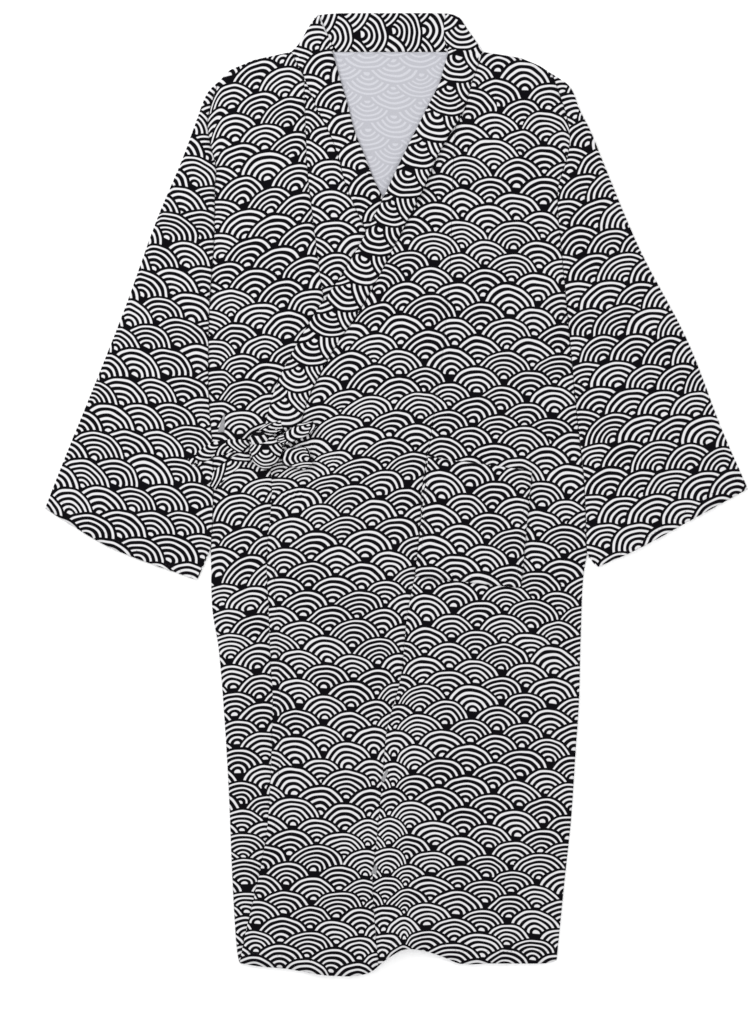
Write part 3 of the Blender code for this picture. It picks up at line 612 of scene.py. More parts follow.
def over_base(x, y):
    """The underside of the left front and its overlap panel, over all that lies below them."""
    away = far_from(x, y, HIDDEN_BAND_LINE)
    on_band = 1.0 - smooth((away - 62.0) / 45.0)
    on_front = smooth((at_place(UNDER_LIMIT, y) + 62.0 - x) / 40.0)
    base = UNDER + (OVER - UNDER) * on_front + (OVER_BAND - OVER) * on_band * on_front
    side = at_place([(py, px) for px, py in ARMHOLE_LEFT + SIDE_LEFT[1:]], y)
    return base + ridges(x, y, OVER_FOLDS) * smooth((side - x) / 35.0)


def under_base(x, y):
    """The underside of the right front, with its ridges where nothing lies over it."""
    open_edge = np.where(y < 80.0, -178.0, -150.0)
    side = at_place([(py, px) for px, py in ARMHOLE_RIGHT + SIDE_RIGHT[1:]], y)
    calm = smooth((open_edge - x) / 22.0) * smooth((x - side) / 22.0)
    return UNDER + ridges(x, y, UNDER_FOLDS) * calm


OVER_CREASES = [
    Fold(-40, 330, 60, 250, 0.9, 0.3, 9), Fold(70, 380, 150, 330, 0.3, 1.1, 8),
    Fold(30, 180, 150, 215, 0.8, 0.4, 11), Fold(-70, 190, 10, 120, 1.0, 0.2, 8),
    Fold(-125, 60, -40, 62, 1.3, 0.3, 7), Fold(-120, 30, -20, -10, 1.5, 0.2, 8),
    Fold(-130, -10, -95, -120, 1.2, 0.2, 7), Fold(200, 330, 140, 290, 1.0, 0.2, 7),
    Fold(215, 90, 160, 60, 1.1, 0.3, 8), Fold(225, -60, 180, -170, 1.2, 0.3, 8),
    Fold(-60, -180, -30, -330, 0.4, 1.0, 9), Fold(-140, -250, -125, -420, 1.0, 0.4, 8),
    Fold(90, -160, 60, -300, 0.4, 1.0, 9), Fold(190, -330, 165, -520, 0.9, 0.5, 10),
    Fold(-45, -470, -60, -598, 0.5, 1.8, 9), Fold(70, -430, 62, -580, 0.4, 1.6, 9),
    Fold(-10, -380, -2, -500, 0.4, -1.4, 8), Fold(44, -400, 40, -560, 0.3, -1.2, 8),
    Fold(120, 500, 110, 400, 0.7, 0.3, 7), Fold(165, 535, 150, 440, 1.0, 0.3, 8),
]
UNDER_CREASES = [
    Fold(-205, 500, -190, 380, 1.1, 0.3, 7), Fold(-140, 540, -150, 430, 0.8, 0.3, 7),
    Fold(-210, 330, -150, 290, 0.9, 0.3, 8), Fold(-214, 90, -180, 70, 1.2, 0.5, 6),
    Fold(-120, 470, -115, 300, 0.7, 0.4, 6), Fold(-202, -100, -195, -260, 0.9, 0.4, 6),
    Fold(-190, -400, -184, -560, 0.8, 0.9, 7),
]
print("creases by hand:", len(OVER_CREASES) + len(UNDER_CREASES))

# %% [markdown]
# The print must lie on each piece as on real cloth, so each piece has its own grain: a table that says, at
# some heights, where a column of waves passes and how far the rows turn, in degrees clockwise. Tucks are
# short creases that swallow some cloth. They pull the print together on both sides, which is how folds
# show from straight above.

# %% The print's lie on a piece
Grain = namedtuple("Grain", "y column turn")
Tuck = namedtuple("Tuck", "x0 y0 x1 y1 hidden0 hidden1 spread")


def print_place(x, y, grain, start=(0.0, 0.0), tucks=(), rows=((700.0, 700.0), (-700.0, -700.0))):
    """The cloth's own coordinates, in metres, for points in millimetres. rows maps y to the cloth's length."""
    x, y = np.asarray(x, float), np.asarray(y, float)
    column = at_place([(g.y, g.column) for g in grain], y)
    turn = np.radians(at_place([(g.y, g.turn) for g in grain], y))
    u = (x - column) * np.cos(turn)
    v = at_place(rows, y) + (x - column) * np.tan(turn)
    for tuck in tucks:
        dx, dy = tuck.x1 - tuck.x0, tuck.y1 - tuck.y0
        length = math.hypot(dx, dy)
        along = np.clip(((x - tuck.x0) * dx + (y - tuck.y0) * dy) / length**2, 0, 1)
        side = ((x - tuck.x0) * dy - (y - tuck.y0) * dx) / length
        away = reach_of(x, y, tuck.x0, tuck.y0, tuck.x1, tuck.y1)[1]
        hidden = tuck.hidden0 + (tuck.hidden1 - tuck.hidden0) * along
        pull = hidden * 0.5 * np.tanh(side / (0.22 * tuck.spread)) * np.exp(-((away / tuck.spread) ** 2))
        u = u + pull * dy / length
        v = v - pull * dx / length
    return np.stack([(u - start[0]) * MM, (v - start[1]) * MM], axis=-1)


print("grain helper ready")

# %% [markdown]
# A piece of cloth is a grid of points on its outer side. Solidify then gives it its thickness inwards, and
# the inner side takes the second material, the reverse of the print. A vertex group makes the wall twice
# as thick along hems, where the cloth is turned under, and the outer side rises there too. Where cloth
# ends in a fold, the outer side rolls down.

# %% Cloth from a grid
WALL = 0.55
HEM_WALL = 1.1
LIFT = 0.85


def cloth_grid(name, points, place, thick=None, fold=None, closed=False, up=True):
    """A cloth piece from rows of points in millimetres, their print places and its thickness share."""
    rows, columns = points.shape[:2]
    index = np.arange(rows * columns).reshape(rows, columns)
    nxt = np.roll(index, -1, axis=1) if closed else index[:, 1:]
    here = index if closed else index[:, :-1]
    quads = np.stack([here[:-1], here[1:], nxt[1:], nxt[:-1]], axis=-1).reshape(-1, 4)
    if not up:
        quads = quads[:, ::-1]
    mesh = bpy.data.meshes.new(name)
    mesh.from_pydata((points.reshape(-1, 3) * MM).tolist(), [], quads.tolist())
    spots = np.arange(place.shape[0] * place.shape[1]).reshape(place.shape[:2])
    corners = np.stack([spots[:-1, :-1], spots[1:, :-1], spots[1:, 1:], spots[:-1, 1:]], axis=-1).reshape(-1, 4)
    if not up:
        corners = corners[:, ::-1]
    layer = mesh.uv_layers.new(name="Cloth")
    flat = place.reshape(-1, 2)[corners.reshape(-1)]
    layer.data.foreach_set("uv", flat.astype(np.float32).ravel())
    # The fold attribute drives the fold mask: wear along the collar's turn, painted shade on the turned bits.
    wear_and_shade = mesh.attributes.new("fold", "FLOAT", "POINT")
    wear_and_shade.data.foreach_set("value", np.zeros(rows * columns, np.float32) if fold is None
                          else fold.astype(np.float32).ravel())
    mesh.materials.append(printed_cotton)
    mesh.materials.append(cotton_reverse)
    mesh.shade_smooth()
    piece = bpy.data.objects.new(name, mesh)
    bpy.context.scene.collection.objects.link(piece)
    wall = piece.modifiers.new("wall", "SOLIDIFY")
    wall.thickness = HEM_WALL * MM
    wall.offset = -1.0
    wall.material_offset = 1
    group = piece.vertex_groups.new(name="wall")
    share = np.full(rows * columns, WALL / HEM_WALL) if thick is None else thick.ravel()
    for level in np.unique(np.round(share, 2)):
        members = np.nonzero(np.round(share, 2) == level)[0]
        group.add(members.tolist(), float(level), "REPLACE")
    wall.vertex_group = "wall"
    return piece


def hem_share(away, width):
    """How much of the full hem thickness the wall has at a distance from the edge."""
    return WALL / HEM_WALL + (1 - WALL / HEM_WALL) * smooth((width - away) / 1.2)


def puckers(away, along, seed, reach=14.0, high=0.35):
    """Small pulls beside a sewn line, uneven along it."""
    rng = np.random.default_rng(seed)
    wave = sum(np.sin(along * 2 * math.pi / length + rng.uniform(0, 6.3)) for length in (13.0, 19.0, 31.0))
    return high * wave * 0.5 * np.exp(-(away / reach) ** 2)


print("cloth", WALL, "mm thick, hems", HEM_WALL, "mm")

# %% [markdown]
# All flat panels are made in one way. Four edges give the grid, a base height comes from the solids, and
# then the cloth gets its character: creases and ripples in the open, a valley and small pulls at sewn
# edges, a raised band at hems and a roll where it turns over the shoulder.

# %% A flat panel
def panel(name, edges, base, grain, start, sewn=(), hems=(), rolls=(), creases=(), tucks=(), seed=1,
          bend=None, pinch=0.0, outside_up=True, rows=((700.0, 700.0), (-700.0, -700.0))):
    """One cut piece of cloth laid flat. Returns the piece and a function that gives its outer height."""
    points = patch(*edges)
    x, y = points[..., 0], points[..., 1]

    def outer(x, y):
        z = base(x, y) + LIFT + ridges(x, y, creases) + ripple(x, y, seed)
        for number, line in enumerate(sewn):
            away = far_from(x, y, line)
            z = z - 0.45 * np.exp(-((away / 2.2) ** 2)) + puckers(away, y, seed + number)
        for line, width in hems:
            away = far_from(x, y, line)
            z = z + 0.3 * smooth((width - away) / 1.5) - 0.35 * np.exp(-((away / 0.9) ** 2))
            z = z + puckers(np.abs(away - width), x + y, seed + 7, 6.0, 0.22)
        for line in rolls:
            away = np.minimum(far_from(x, y, line), 3.0)
            z = z - 1.5 * (1 - np.sqrt(1 - (1 - away / 3.0) ** 2 * 0.99))
        return z

    z = outer(x, y) if outside_up else base(x, y)
    thick = np.full_like(x, WALL / HEM_WALL)
    for line, width in hems:
        thick = np.maximum(thick, hem_share(far_from(x, y, line), width))
    place = print_place(x, y, grain, (0, 0), tucks, rows)
    if bend is not None:
        place[..., 1] += bend(x, y) * MM
        if pinch:
            place[..., 0] += pinch * seam_pinch(x, y) * MM
    place = place - np.array(start) * MM
    piece = cloth_grid(name, np.stack([x, y, z], axis=-1), place if outside_up else -place, thick,
                       up=outside_up)
    print(name, "grid", x.shape, "height", round(float(z.min()), 2), "to", round(float(z.max()), 2), "mm")
    return piece, outer


def lines_of(points, step=6):
    """Every few points of a line, for measuring distances."""
    kept = [tuple(p) for p in points[::step]]
    return kept if tuple(points[-1]) == kept[-1] else kept + [tuple(points[-1])]


def hem_between(start_x, end_x, cells, lift=0.0):
    """The stretch of the hem between two sides."""
    x = np.linspace(start_x, end_x, cells + 1)
    return np.stack([x, np.interp(x, HEM_LINE[:, 0], HEM_LINE[:, 1]) + lift], axis=1)


HEM_EDGE = lines_of(HEM_LINE, 8)
HEM_WIDTH = 17.0
EDGE_WIDTH = 11.0
print("hem points:", len(HEM_EDGE))

# %% [markdown]
# The back lies on the table with its print down, so from above it shows its pale reverse in the neck.
# There the waves point down, because one length of cloth runs over the shoulders.

# %% Back
BACK_GRAIN = [Grain(600, -37, 1.0), Grain(400, -35, 1.0), Grain(-600, -30, 2.0)]
neck = [(-60, NECK_SEAM_Y - SEAM), (40, NECK_SEAM_Y - SEAM)]
shoulders = ([(x, y - HIDDEN_INSET) for x, y in SHOULDER_RIGHT] + neck
             + [(x, y - HIDDEN_INSET) for x, y in SHOULDER_LEFT])
left = np.vstack([beside(ARMHOLE_SEAM_RIGHT, SEAM / 2), beside(SIDE_SEAM_RIGHT, HIDDEN_INSET)[1:]])
right = np.vstack([beside(ARMHOLE_SEAM_LEFT, -SEAM / 2),
                   beside(SIDE_SEAM_LEFT, -HIDDEN_INSET)[1:-2 * FINE]])
cells = 72
back, back_outer = panel(
    "back_panel",
    (straight(shoulders, cells), hem_between(left[-1][0] + 1, SIDE_LEFT[-1][0] - HIDDEN_INSET, cells, 4.0),
     left, right),
    lambda x, y: np.full_like(x, 0.12), BACK_GRAIN, (0.0, 492.0), hems=[(HEM_EDGE, HEM_WIDTH)],
    outside_up=False, rows=[(700, 733.3), (492, 492), (300, 269.3), (-700, -730.7)])
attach(back, "root")
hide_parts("back")

# %% [markdown]
# The right front and its overlap panel lie under the left ones. Their print leans, because the cloth is
# pulled across to the tie. Small tucks beside the armhole show where it was smoothed down.

# %% Right front and right overlap
def over_arm(beyond, y):
    """Near the shoulder the cloth turns down over the arm, so the waves' flanks hang beside the armhole."""
    window = smooth((y - 398.0) / 22.0) * smooth((530.0 - y) / 22.0)
    return 0.04 * np.maximum(beyond, 0.0) ** 2 * window


def right_bend(x, y):
    return over_arm(-214.0 - x, y)


RIGHT_ROWS = [(600, 600), (345, 345), (318, 317), (203, 196), (168, 158), (118, 107.2), (80, 63.5), (7, -23.6),
              (-35, -66.5), (-70, -106), (-108, -147.5), (-140, -180.5), (-165, -208.8), (-278, -325.3),
              (-400, -454), (-494, -564), (-600, -686.6)]
RIGHT_GRAIN = [Grain(560, -212, -13), Grain(475, -205.8, -13), Grain(397, -197, -16), Grain(317, -189, -16),
               Grain(203, -171, -12), Grain(168, -164, -11), Grain(118, -159, -10), Grain(80, -163, -9),
               Grain(7, -170, -14), Grain(-35, -163.5, -16), Grain(-70, -159, -18), Grain(-108, -153.5, -20),
               Grain(-140, -150, -17), Grain(-165, -145, -14), Grain(-278, -135, -5), Grain(-400, -128, 0),
               Grain(-600, -117, 3)]
RIGHT_TUCKS = [Tuck(-203, 275, -214, 112, 2.0, 6.5, 22), Tuck(-233, 520, -240, 400, 8.0, 5.0, 18),
               Tuck(-112, 468, -106, 330, 3.5, 2.0, 20), Tuck(-216, -60, -212, -190, 4.0, 0.5, 18)]
left = np.vstack([beside(ARMHOLE_SEAM_RIGHT, SEAM / 2), SIDE_SEAM_RIGHT[1:]])
right = np.vstack([beside(BAND_SEAM_RIGHT[:TIP_RIGHT + 1], -SEAM), beside(OKUMI_SEAM_RIGHT, -SEAM / 2)[1:]])
cells = 48
bottom = hem_between(SIDE_RIGHT[-1][0] + 1, right[-1][0], cells)
bottom[:, 1] += 2 * HIDDEN_INSET * smooth((bottom[:, 0] + 197) / 22)
front_right, front_right_outer = panel(
    "right_front", (straight([left[0]] + SHOULDER_RIGHT[1:-1] + [right[0]], cells), bottom, left, right),
    under_base, RIGHT_GRAIN, (0.0, 482.6), sewn=[lines_of(left), lines_of(right)],
    hems=[(HEM_EDGE, HEM_WIDTH)], rolls=[SHOULDER_RIGHT], creases=UNDER_CREASES, tucks=RIGHT_TUCKS, seed=3,
    bend=right_bend, rows=RIGHT_ROWS)

OVERLAP_GRAIN = [Grain(560, -84, 2), Grain(388, -80.6, 2), Grain(307, -77, -3), Grain(-600, -60, -2)]
left = beside(OKUMI_SEAM_RIGHT, SEAM / 2)
seam = beside(BAND_SEAM_RIGHT[TIP_RIGHT:], -SEAM)
right = np.vstack([seam, rounded(UNDER_FREE_EDGE, len(left) - len(seam))[1:]])
tip = np.stack([left[0] + (left[1] - left[0]) * TIP_SHARE, seam[0] + (seam[1] - seam[0]) * TIP_SHARE])
cells = 36
overlap_right, overlap_right_outer = panel(
    "right_overlap",
    (straight(tip, cells), hem_between(left[-1][0], UNDER_FREE_EDGE[-1][0], cells, 4.0), left, right),
    lambda x, y: np.full_like(x, UNDER), OVERLAP_GRAIN, (0.0, 388.0), sewn=[lines_of(left), lines_of(seam)],
    hems=[(HEM_EDGE, HEM_WIDTH)], tucks=[Tuck(-108, 468, -104, 330, 3.0, 2.0, 16)], seed=5)
for piece, node in ((front_right, "front_right"), (overlap_right, "overlap_right")):
    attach(piece, "root")
    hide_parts(node)

# %% [markdown]
# The left front and its overlap panel lie on top. Above the pocket the print runs on over the seam between
# them, so both take the same lie there. Further down the panels part ways and the seam shows as a break
# in the waves. The hem's notch comes from the large fold in the middle.

# %% Left front and left overlap
def left_bend(x, y):
    """Rows curve up a little towards the collar."""
    strength = at_place([(600, 0.0003), (300, 0.0006), (230, 0.0011), (60, 0.0011), (0, 0.0004), (-200, 0.00005),
                         (-600, 0.0)], y)
    return strength * np.maximum(60.0 - x, 0.0) ** 2 + over_arm(x - 203.0, y)


def from_left_seam(x, y):
    """Distance across from the left overlap seam."""
    return np.abs(x - at_place([(sy, sx) for sx, sy in OKUMI_SEAM_LEFT[::20]], y))


def seam_pinch(x, y):
    """How much cloth the lower seam swallows on each side of it."""
    return at_place([(600, 0), (-90, 0), (-190, 8), (-600, 10)], y) * np.exp(-((from_left_seam(x, y) / 14.0) ** 2))


def front_bend(x, y):
    """Beside the lower seam the front's rows also sag, so they miss the overlap's rows."""
    sag = at_place([(600, 0), (-140, 0), (-220, 10), (-430, 8), (-520, 13), (-600, 15)], y)
    return left_bend(x, y) + sag * np.exp(-((from_left_seam(x, y) / 36.0) ** 2))


LEFT_GRAIN = [Grain(600, 132, 3.5), Grain(300, 113, 3.5), Grain(130, 100, 4.2), Grain(30, 87, 4.4),
              Grain(-60, 78, 4.5), Grain(-177.5, 68, 4.5),
              Grain(-400, 52, 5.2), Grain(-600, 36, 5.9)]
LEFT_ROWS = [(600, 615), (330, 345), (280, 293), (230, 243.6), (180, 196.6), (130, 144), (80, 89), (30, 38),
             (-80, -74.3), (-160, -159.1), (-280, -291.1), (-430, -451.6), (-600, -653.0)]
OVERLAP_ROWS = LEFT_ROWS[:-3] + [(-280, -288), (-344, -354.5), (-407, -417.3), (-470, -487), (-532, -557),
                                 (-600, -635.2)]
LEFT_TUCKS = [Tuck(165, 470, 95, 330, 4.0, 0.5, 22), Tuck(190, 260, 120, 160, 3.5, 0.5, 20),
              Tuck(205, -150, 130, -260, 4.0, 0.5, 24), Tuck(4, -330, 13, -590, 4.0, 17.0, 38),
              Tuck(120, -330, 130, -570, 0.5, 4.0, 22),
              Tuck(-70, 210, 20, 130, 0.5, 3.0, 22)]
left = np.vstack([beside(BAND_SEAM_LEFT[:TIP_LEFT + 1], SEAM), beside(OKUMI_SEAM_LEFT, SEAM / 2)[1:]])
right = np.vstack([beside(ARMHOLE_SEAM_LEFT, -SEAM / 2), SIDE_SEAM_LEFT[1:]])
cells = 72
front_left, front_left_outer = panel(
    "left_front", (straight([left[0]] + SHOULDER_LEFT[1:-1] + [right[0]], cells),
                   hem_between(left[-1][0], SIDE_LEFT[-1][0], cells), left, right),
    over_base, LEFT_GRAIN, (0.0, -178.4), sewn=[lines_of(right), lines_of(left[TIP_LEFT:])],
    hems=[(HEM_EDGE, HEM_WIDTH)], rolls=[SHOULDER_LEFT], creases=OVER_CREASES, tucks=LEFT_TUCKS, seed=11,
    bend=front_bend, pinch=-1.0, rows=LEFT_ROWS)

LEFT_SHIFT = [(600, 0.0), (50, 0.0), (-60, -16.0), (-167, -21.7), (-245, -18.4), (-323, -16.0),
              (-433, -15.5), (-600, -17.0)]
LEFT_OVERLAP_GRAIN = [Grain(y, column + float(at_place(LEFT_SHIFT, y)), turn) for y, column, turn in
                      [(600, 132, 3.5), (300, 113, 3.5), (130, 100, 4.2), (30, 87, 4.4), (-60, 78, 4.5),
                       (-177.5, 68, 4.5), (-400, 52, 4.7), (-600, 36, 4.6)]]
seam = beside(BAND_SEAM_LEFT[TIP_LEFT:], SEAM)
right = beside(OKUMI_SEAM_LEFT, -SEAM / 2)
free_edge = rounded(OVER_FREE_EDGE, len(right) - len(seam))
left = np.vstack([seam, free_edge[1:]])
tip = np.stack([seam[0] + (seam[1] - seam[0]) * TIP_SHARE, right[0] + (right[1] - right[0]) * TIP_SHARE])
cells = 60
OVERLAP_TUCKS = LEFT_TUCKS + [Tuck(-120, 52, -40, 30, 5.0, 0.5, 18), Tuck(-150, -60, -144, -330, 1.5, 4.0, 14),
                              Tuck(-95, -420, -88, -590, 0.5, 4.0, 20)]
overlap_left, overlap_left_outer = panel(
    "left_overlap", (straight(tip, cells), hem_between(OVER_FREE_EDGE[-1][0], right[-1][0], cells), left, right),
    over_base, LEFT_OVERLAP_GRAIN, (0.0, -178.4), sewn=[lines_of(seam), lines_of(right[4 * FINE:])],
    hems=[(HEM_EDGE, HEM_WIDTH), (lines_of(free_edge, 4), EDGE_WIDTH)], creases=OVER_CREASES,
    tucks=OVERLAP_TUCKS, seed=11, bend=left_bend, pinch=0.8, rows=OVERLAP_ROWS)
for piece, node in ((front_left, "front_left"), (overlap_left, "overlap_left")):
    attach(piece, "root")
    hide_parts(node)

# %% [markdown]
# The patch pocket is a square with its edges turned in. It follows the left front's points, moved out, so
# it bends with the cloth below. Its print was cut a few degrees off.

# %% Pocket
POCKET_GRAIN = [Grain(100, 104, 7.9), Grain(-150, 68, 7.9)]
corner = {name: np.array(place, float) for name, place in POCKET_CORNERS.items()}
cells = 44
pocket_edges = (straight([corner["top_left"], corner["top_right"]], cells),
                straight([corner["bottom_left"], corner["bottom_right"]], cells),
                straight([corner["top_left"], corner["bottom_left"]], cells),
                straight([corner["top_right"], corner["bottom_right"]], cells))
pocket_rim = lines_of(np.vstack([pocket_edges[2], pocket_edges[1][1:], pocket_edges[3][::-1][1:],
                                 pocket_edges[0][::-1][1:]]), 4)
pocket, pocket_outer = panel(
    "patch_pocket", pocket_edges, lambda x, y: over_base(x, y) + ridges(x, y, OVER_CREASES) + POCKET_LIFT,
    POCKET_GRAIN, (0.0, -30.0), hems=[(pocket_rim, 7.0)],
    creases=[Fold(60, 20, 75, -60, 0.8, 0.2, 10), Fold(150, 10, 110, 20, 0.7, 0.2, 9)], seed=17)
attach(pocket, "root")
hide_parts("pocket")

# %% [markdown]
# A sleeve is a tube pressed flat: a soft fold along its top, a seam under the arm, and open ends. Its ring
# of points runs over the upper layer, round the fold, back along the lower layer and round the seam. The
# print is mirrored at the fold, as on one piece of cloth, and its rows lie along the cuff.

# %% Sleeves
SLEEVE_ALONG = 14 * FINE
SLEEVE_HIGH = 2 * CLOTH + REST
ROUND_STEPS = 4
CUFF_HEM = 20.0
SLEEVE_CREASES = [
    Fold(-236, 500, -240, 400, 1.0, 0.4, 7), Fold(-262, 430, -250, 330, 0.9, 0.3, 8),
    Fold(-246, 300, -262, 160, 1.0, 0.4, 7), Fold(-300, 320, -320, 180, 0.8, 0.3, 10),
    Fold(-330, 210, -372, 60, 0.9, 0.6, 9), Fold(-248, 90, -262, -60, 1.2, 0.5, 7),
    Fold(-285, 60, -300, -80, 0.5, 1.1, 8), Fold(-330, 0, -340, -60, 0.4, 1.0, 8),
    Fold(-405, 20, -400, -20, 0.3, 0.9, 7), Fold(-240, -20, -246, -80, 1.0, 0.4, 6),
]


def turned_place(x, y, turn, start):
    """Print places turned clockwise by an angle in degrees. The sleeves' waves are a little wide and low."""
    a = math.radians(turn)
    x, y = x - start[0], y - start[1]
    return np.stack([(x * math.cos(a) - y * math.sin(a)) * 0.95 * MM,
                     (x * math.sin(a) + y * math.cos(a)) * 1.05 * MM], -1)


def mirrored(x, y, a, b):
    """Points mirrored over the line through a and b."""
    a, b = np.array(a, float), np.array(b, float)
    d = (b - a) / np.linalg.norm(b - a)
    along = (x - a[0]) * d[0] + (y - a[1]) * d[1]
    return 2 * (a[0] + along * d[0]) - x, 2 * (a[1] + along * d[1]) - y


def sleeve(name, armhole, cuff, top, lower, mirror, turn, start, seed):
    grid = patch(armhole, rounded(cuff, len(armhole) - 1), rounded(top, SLEEVE_ALONG),
                 rounded(lower, SLEEVE_ALONG))
    x, y = grid[..., 0], grid[..., 1]
    share = np.linspace(0, 1, len(grid))[:, None]
    across = np.linspace(0, 1, grid.shape[1])[None, :]
    calm = np.sin(math.pi * (0.06 + 0.88 * share)) ** 0.7
    bow = np.sqrt(np.maximum(np.sin(math.pi * across), 0.0))
    cuff_line, seam_line = lines_of(grid[-1]), lines_of(grid[0])
    from_cuff = far_from(x, y, cuff_line)
    from_seam = far_from(x, y, seam_line)
    rise = 1.5 + ridges(x * mirror, y, SLEEVE_FOLDS) + ridges(x * mirror, y, SLEEVE_CREASES)
    upper = SLEEVE_HIGH + rise * bow * calm + ripple(x, y, seed) * bow
    upper += puckers(from_seam, y, seed, 16.0, 0.45) * bow + 0.3 * smooth((CUFF_HEM - from_cuff) / 1.5) * bow
    under = 0.1 + 0.25 * bow * (1 + ripple(x, y, seed + 1)) * calm
    inward = grid[:, 1] - grid[:, 0]
    inward /= np.linalg.norm(inward, axis=1)[:, None]
    outward = grid[:, -2] - grid[:, -1]
    outward /= np.linalg.norm(outward, axis=1)[:, None]
    radius = 1.35
    flat = grid.copy()
    pull = np.clip(1 - np.arange(grid.shape[1]) / 3.0, 0, 1)[None, :, None]
    flat += inward[:, None] * radius * pull + outward[:, None] * radius * pull[:, ::-1]

    def arc(edge, direction, high, low):
        """Points of a half round from the upper layer down to the lower one."""
        steps = np.linspace(0, math.pi, ROUND_STEPS + 2)[1:-1]
        middle, half = (high + low) / 2, (high - low) / 2
        return np.stack([np.concatenate([edge - direction * radius * math.sin(s),
                                         (middle + half * math.cos(s))[:, None]], axis=1) for s in steps], 1)

    above = np.concatenate([flat, upper[..., None]], axis=-1)[:, ::-1]
    below = np.concatenate([flat, under[..., None]], axis=-1)
    fold_arc = arc(flat[:, 0], inward, upper[:, 0], under[:, 0])
    seam_arc = arc(flat[:, -1], outward, upper[:, -1], under[:, -1])[:, ::-1]
    ring = np.concatenate([above, fold_arc, below, seam_arc], axis=1)
    mx, my = mirrored(x, y, top[0], top[-1])
    upper_place = turned_place(x, y, turn, start)[:, ::-1]
    lower_place = turned_place(mx, my, turn, start)
    fold_place = np.repeat(upper_place[:, -1:], ROUND_STEPS, axis=1)
    seam_place = np.repeat(lower_place[:, -1:], ROUND_STEPS, axis=1)
    place = np.concatenate([upper_place, fold_place, lower_place, seam_place, seam_place[:, -1:]], axis=1)
    cuff_share = hem_share(from_cuff, CUFF_HEM)
    thick = np.concatenate([cuff_share[:, ::-1], np.repeat(cuff_share[:, :1], ROUND_STEPS, axis=1), cuff_share,
                            np.repeat(cuff_share[:, -1:], ROUND_STEPS, axis=1)], axis=1)
    piece = cloth_grid(name, ring, place, thick, closed=True, up=mirror < 0)
    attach(piece, "root")
    print(name, "ring of", ring.shape[1], "points,", len(ring), "rings, top", round(float(upper.max()), 2), "mm")
    return piece, grid, upper


sleeve_right, right_grid, right_upper = sleeve(
    "right_sleeve", beside(ARMHOLE_SEAM_RIGHT, -SEAM / 2), CUFF_RIGHT, SLEEVE_RIGHT_TOP, SLEEVE_RIGHT_LOWER,
    1.0, 25.4, (-305.0, 116.0), 21)
sleeve_left, left_grid, left_upper = sleeve(
    "left_sleeve", beside(ARMHOLE_SEAM_LEFT, SEAM / 2), CUFF_LEFT, SLEEVE_LEFT_TOP, SLEEVE_LEFT_LOWER,
    -1.0, -27.0, (316.0, 133.0), 22)
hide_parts("sleeve_right")
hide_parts("sleeve_left")

# %% [markdown]
# The collar is one long doubled strip. It starts under the left front, runs up the right edge, turns
# sharply at the shoulder, passes behind the neck and comes down the left edge. The two turns are pressed
# folds, where the print changes direction at once, so the collar is three flat stretches that lap.

# %% Collar
BAND_WALL_LIFT = 2.1
TURN_RIGHT = [(-97.0, 600.0), (-87.5, 581.0), (-85.5, 567.0), (-79.0, 552.8)]
TURN_LEFT = [(62.0, 601.0), (59.5, 588.0), (59.5, 571.0), (64.5, 553.0)]
COLLAR_CREASES = [Fold(-95, 500, -70, 470, 0.9, 0.2, 8), Fold(-40, 345, -10, 330, 0.7, 0.2, 8),
                  Fold(75, 470, 60, 430, 0.9, 0.3, 8), Fold(20, 350, 0, 320, 0.8, 0.3, 8),
                  Fold(-60, 270, -40, 240, 0.9, 0.3, 8), Fold(-110, 180, -95, 150, 0.8, 0.4, 7)]


def join_pieces(pieces, name):
    """Several meshes with the same materials and modifiers as one piece."""
    with bpy.context.temp_override(active_object=pieces[0], object=pieces[0], selected_objects=pieces,
                                   selected_editable_objects=pieces):
        bpy.ops.object.join()
    pieces[0].name = pieces[0].data.name = name
    return pieces[0]


def stretch(name, seam, edge, under, axis, shift, cells=16, turned=None):
    """A flat stretch of the band. The print's middle line is axis, and shift moves it across and along."""
    t = np.linspace(0, 1, cells + 1)[None, :, None]
    grid = edge[:, None] * (1 - t) + seam[:, None] * t
    x, y = grid[..., 0], grid[..., 1]
    free, sewn = lines_of(edge, 3), lines_of(seam, 3)
    from_free, from_sewn = far_from(x, y, free), far_from(x, y, sewn)
    z = under[:, None] + BAND_WALL_LIFT + ridges(x, y, COLLAR_CREASES) + ripple(x, y, 31, 0.16)
    z = z - 1.1 * (1 - np.sqrt(1 - (1 - np.minimum(from_free, 2.2) / 2.2) ** 2 * 0.99))
    z = z - 0.5 * np.exp(-((from_sewn / 2.0) ** 2)) + puckers(from_sewn, x + y, 33, 9.0, 0.3)
    line = np.array(axis, float)
    step = np.diff(line, axis=0)
    length = np.linalg.norm(step, axis=1)
    start = np.concatenate([[0], np.cumsum(length)])[:-1]
    best, u, v = np.full(x.shape, 1e9), np.zeros(x.shape), np.zeros(x.shape)
    for k in range(len(step)):
        d = step[k] / length[k]
        along = (x - line[k, 0]) * d[0] + (y - line[k, 1]) * d[1]
        low = -1e9 if k == 0 else 0.0
        high = 1e9 if k == len(step) - 1 else length[k]
        held = np.clip(along, low, high)
        away = np.hypot(x - line[k, 0] - held * d[0], y - line[k, 1] - held * d[1])
        side = (x - line[k, 0]) * d[1] - (y - line[k, 1]) * d[0]
        nearer = away < best
        best = np.where(nearer, away, best)
        u, v = np.where(nearer, side, u), np.where(nearer, start[k] + along, v)
    # Near the turned line the fold mask greys the print, as wear along the pressed fold.
    wear_and_shade_mask = np.zeros(x.shape) if turned is None else 1.3 - far_from(x, y, turned) / 2.6
    return cloth_grid(name, np.stack([x, y, z], -1), np.stack([(u - shift[0]) * MM, (v - shift[1]) * MM], -1),
                      np.full(x.shape, 1.0), np.clip(wear_and_shade_mask, 0.0, 1.0))


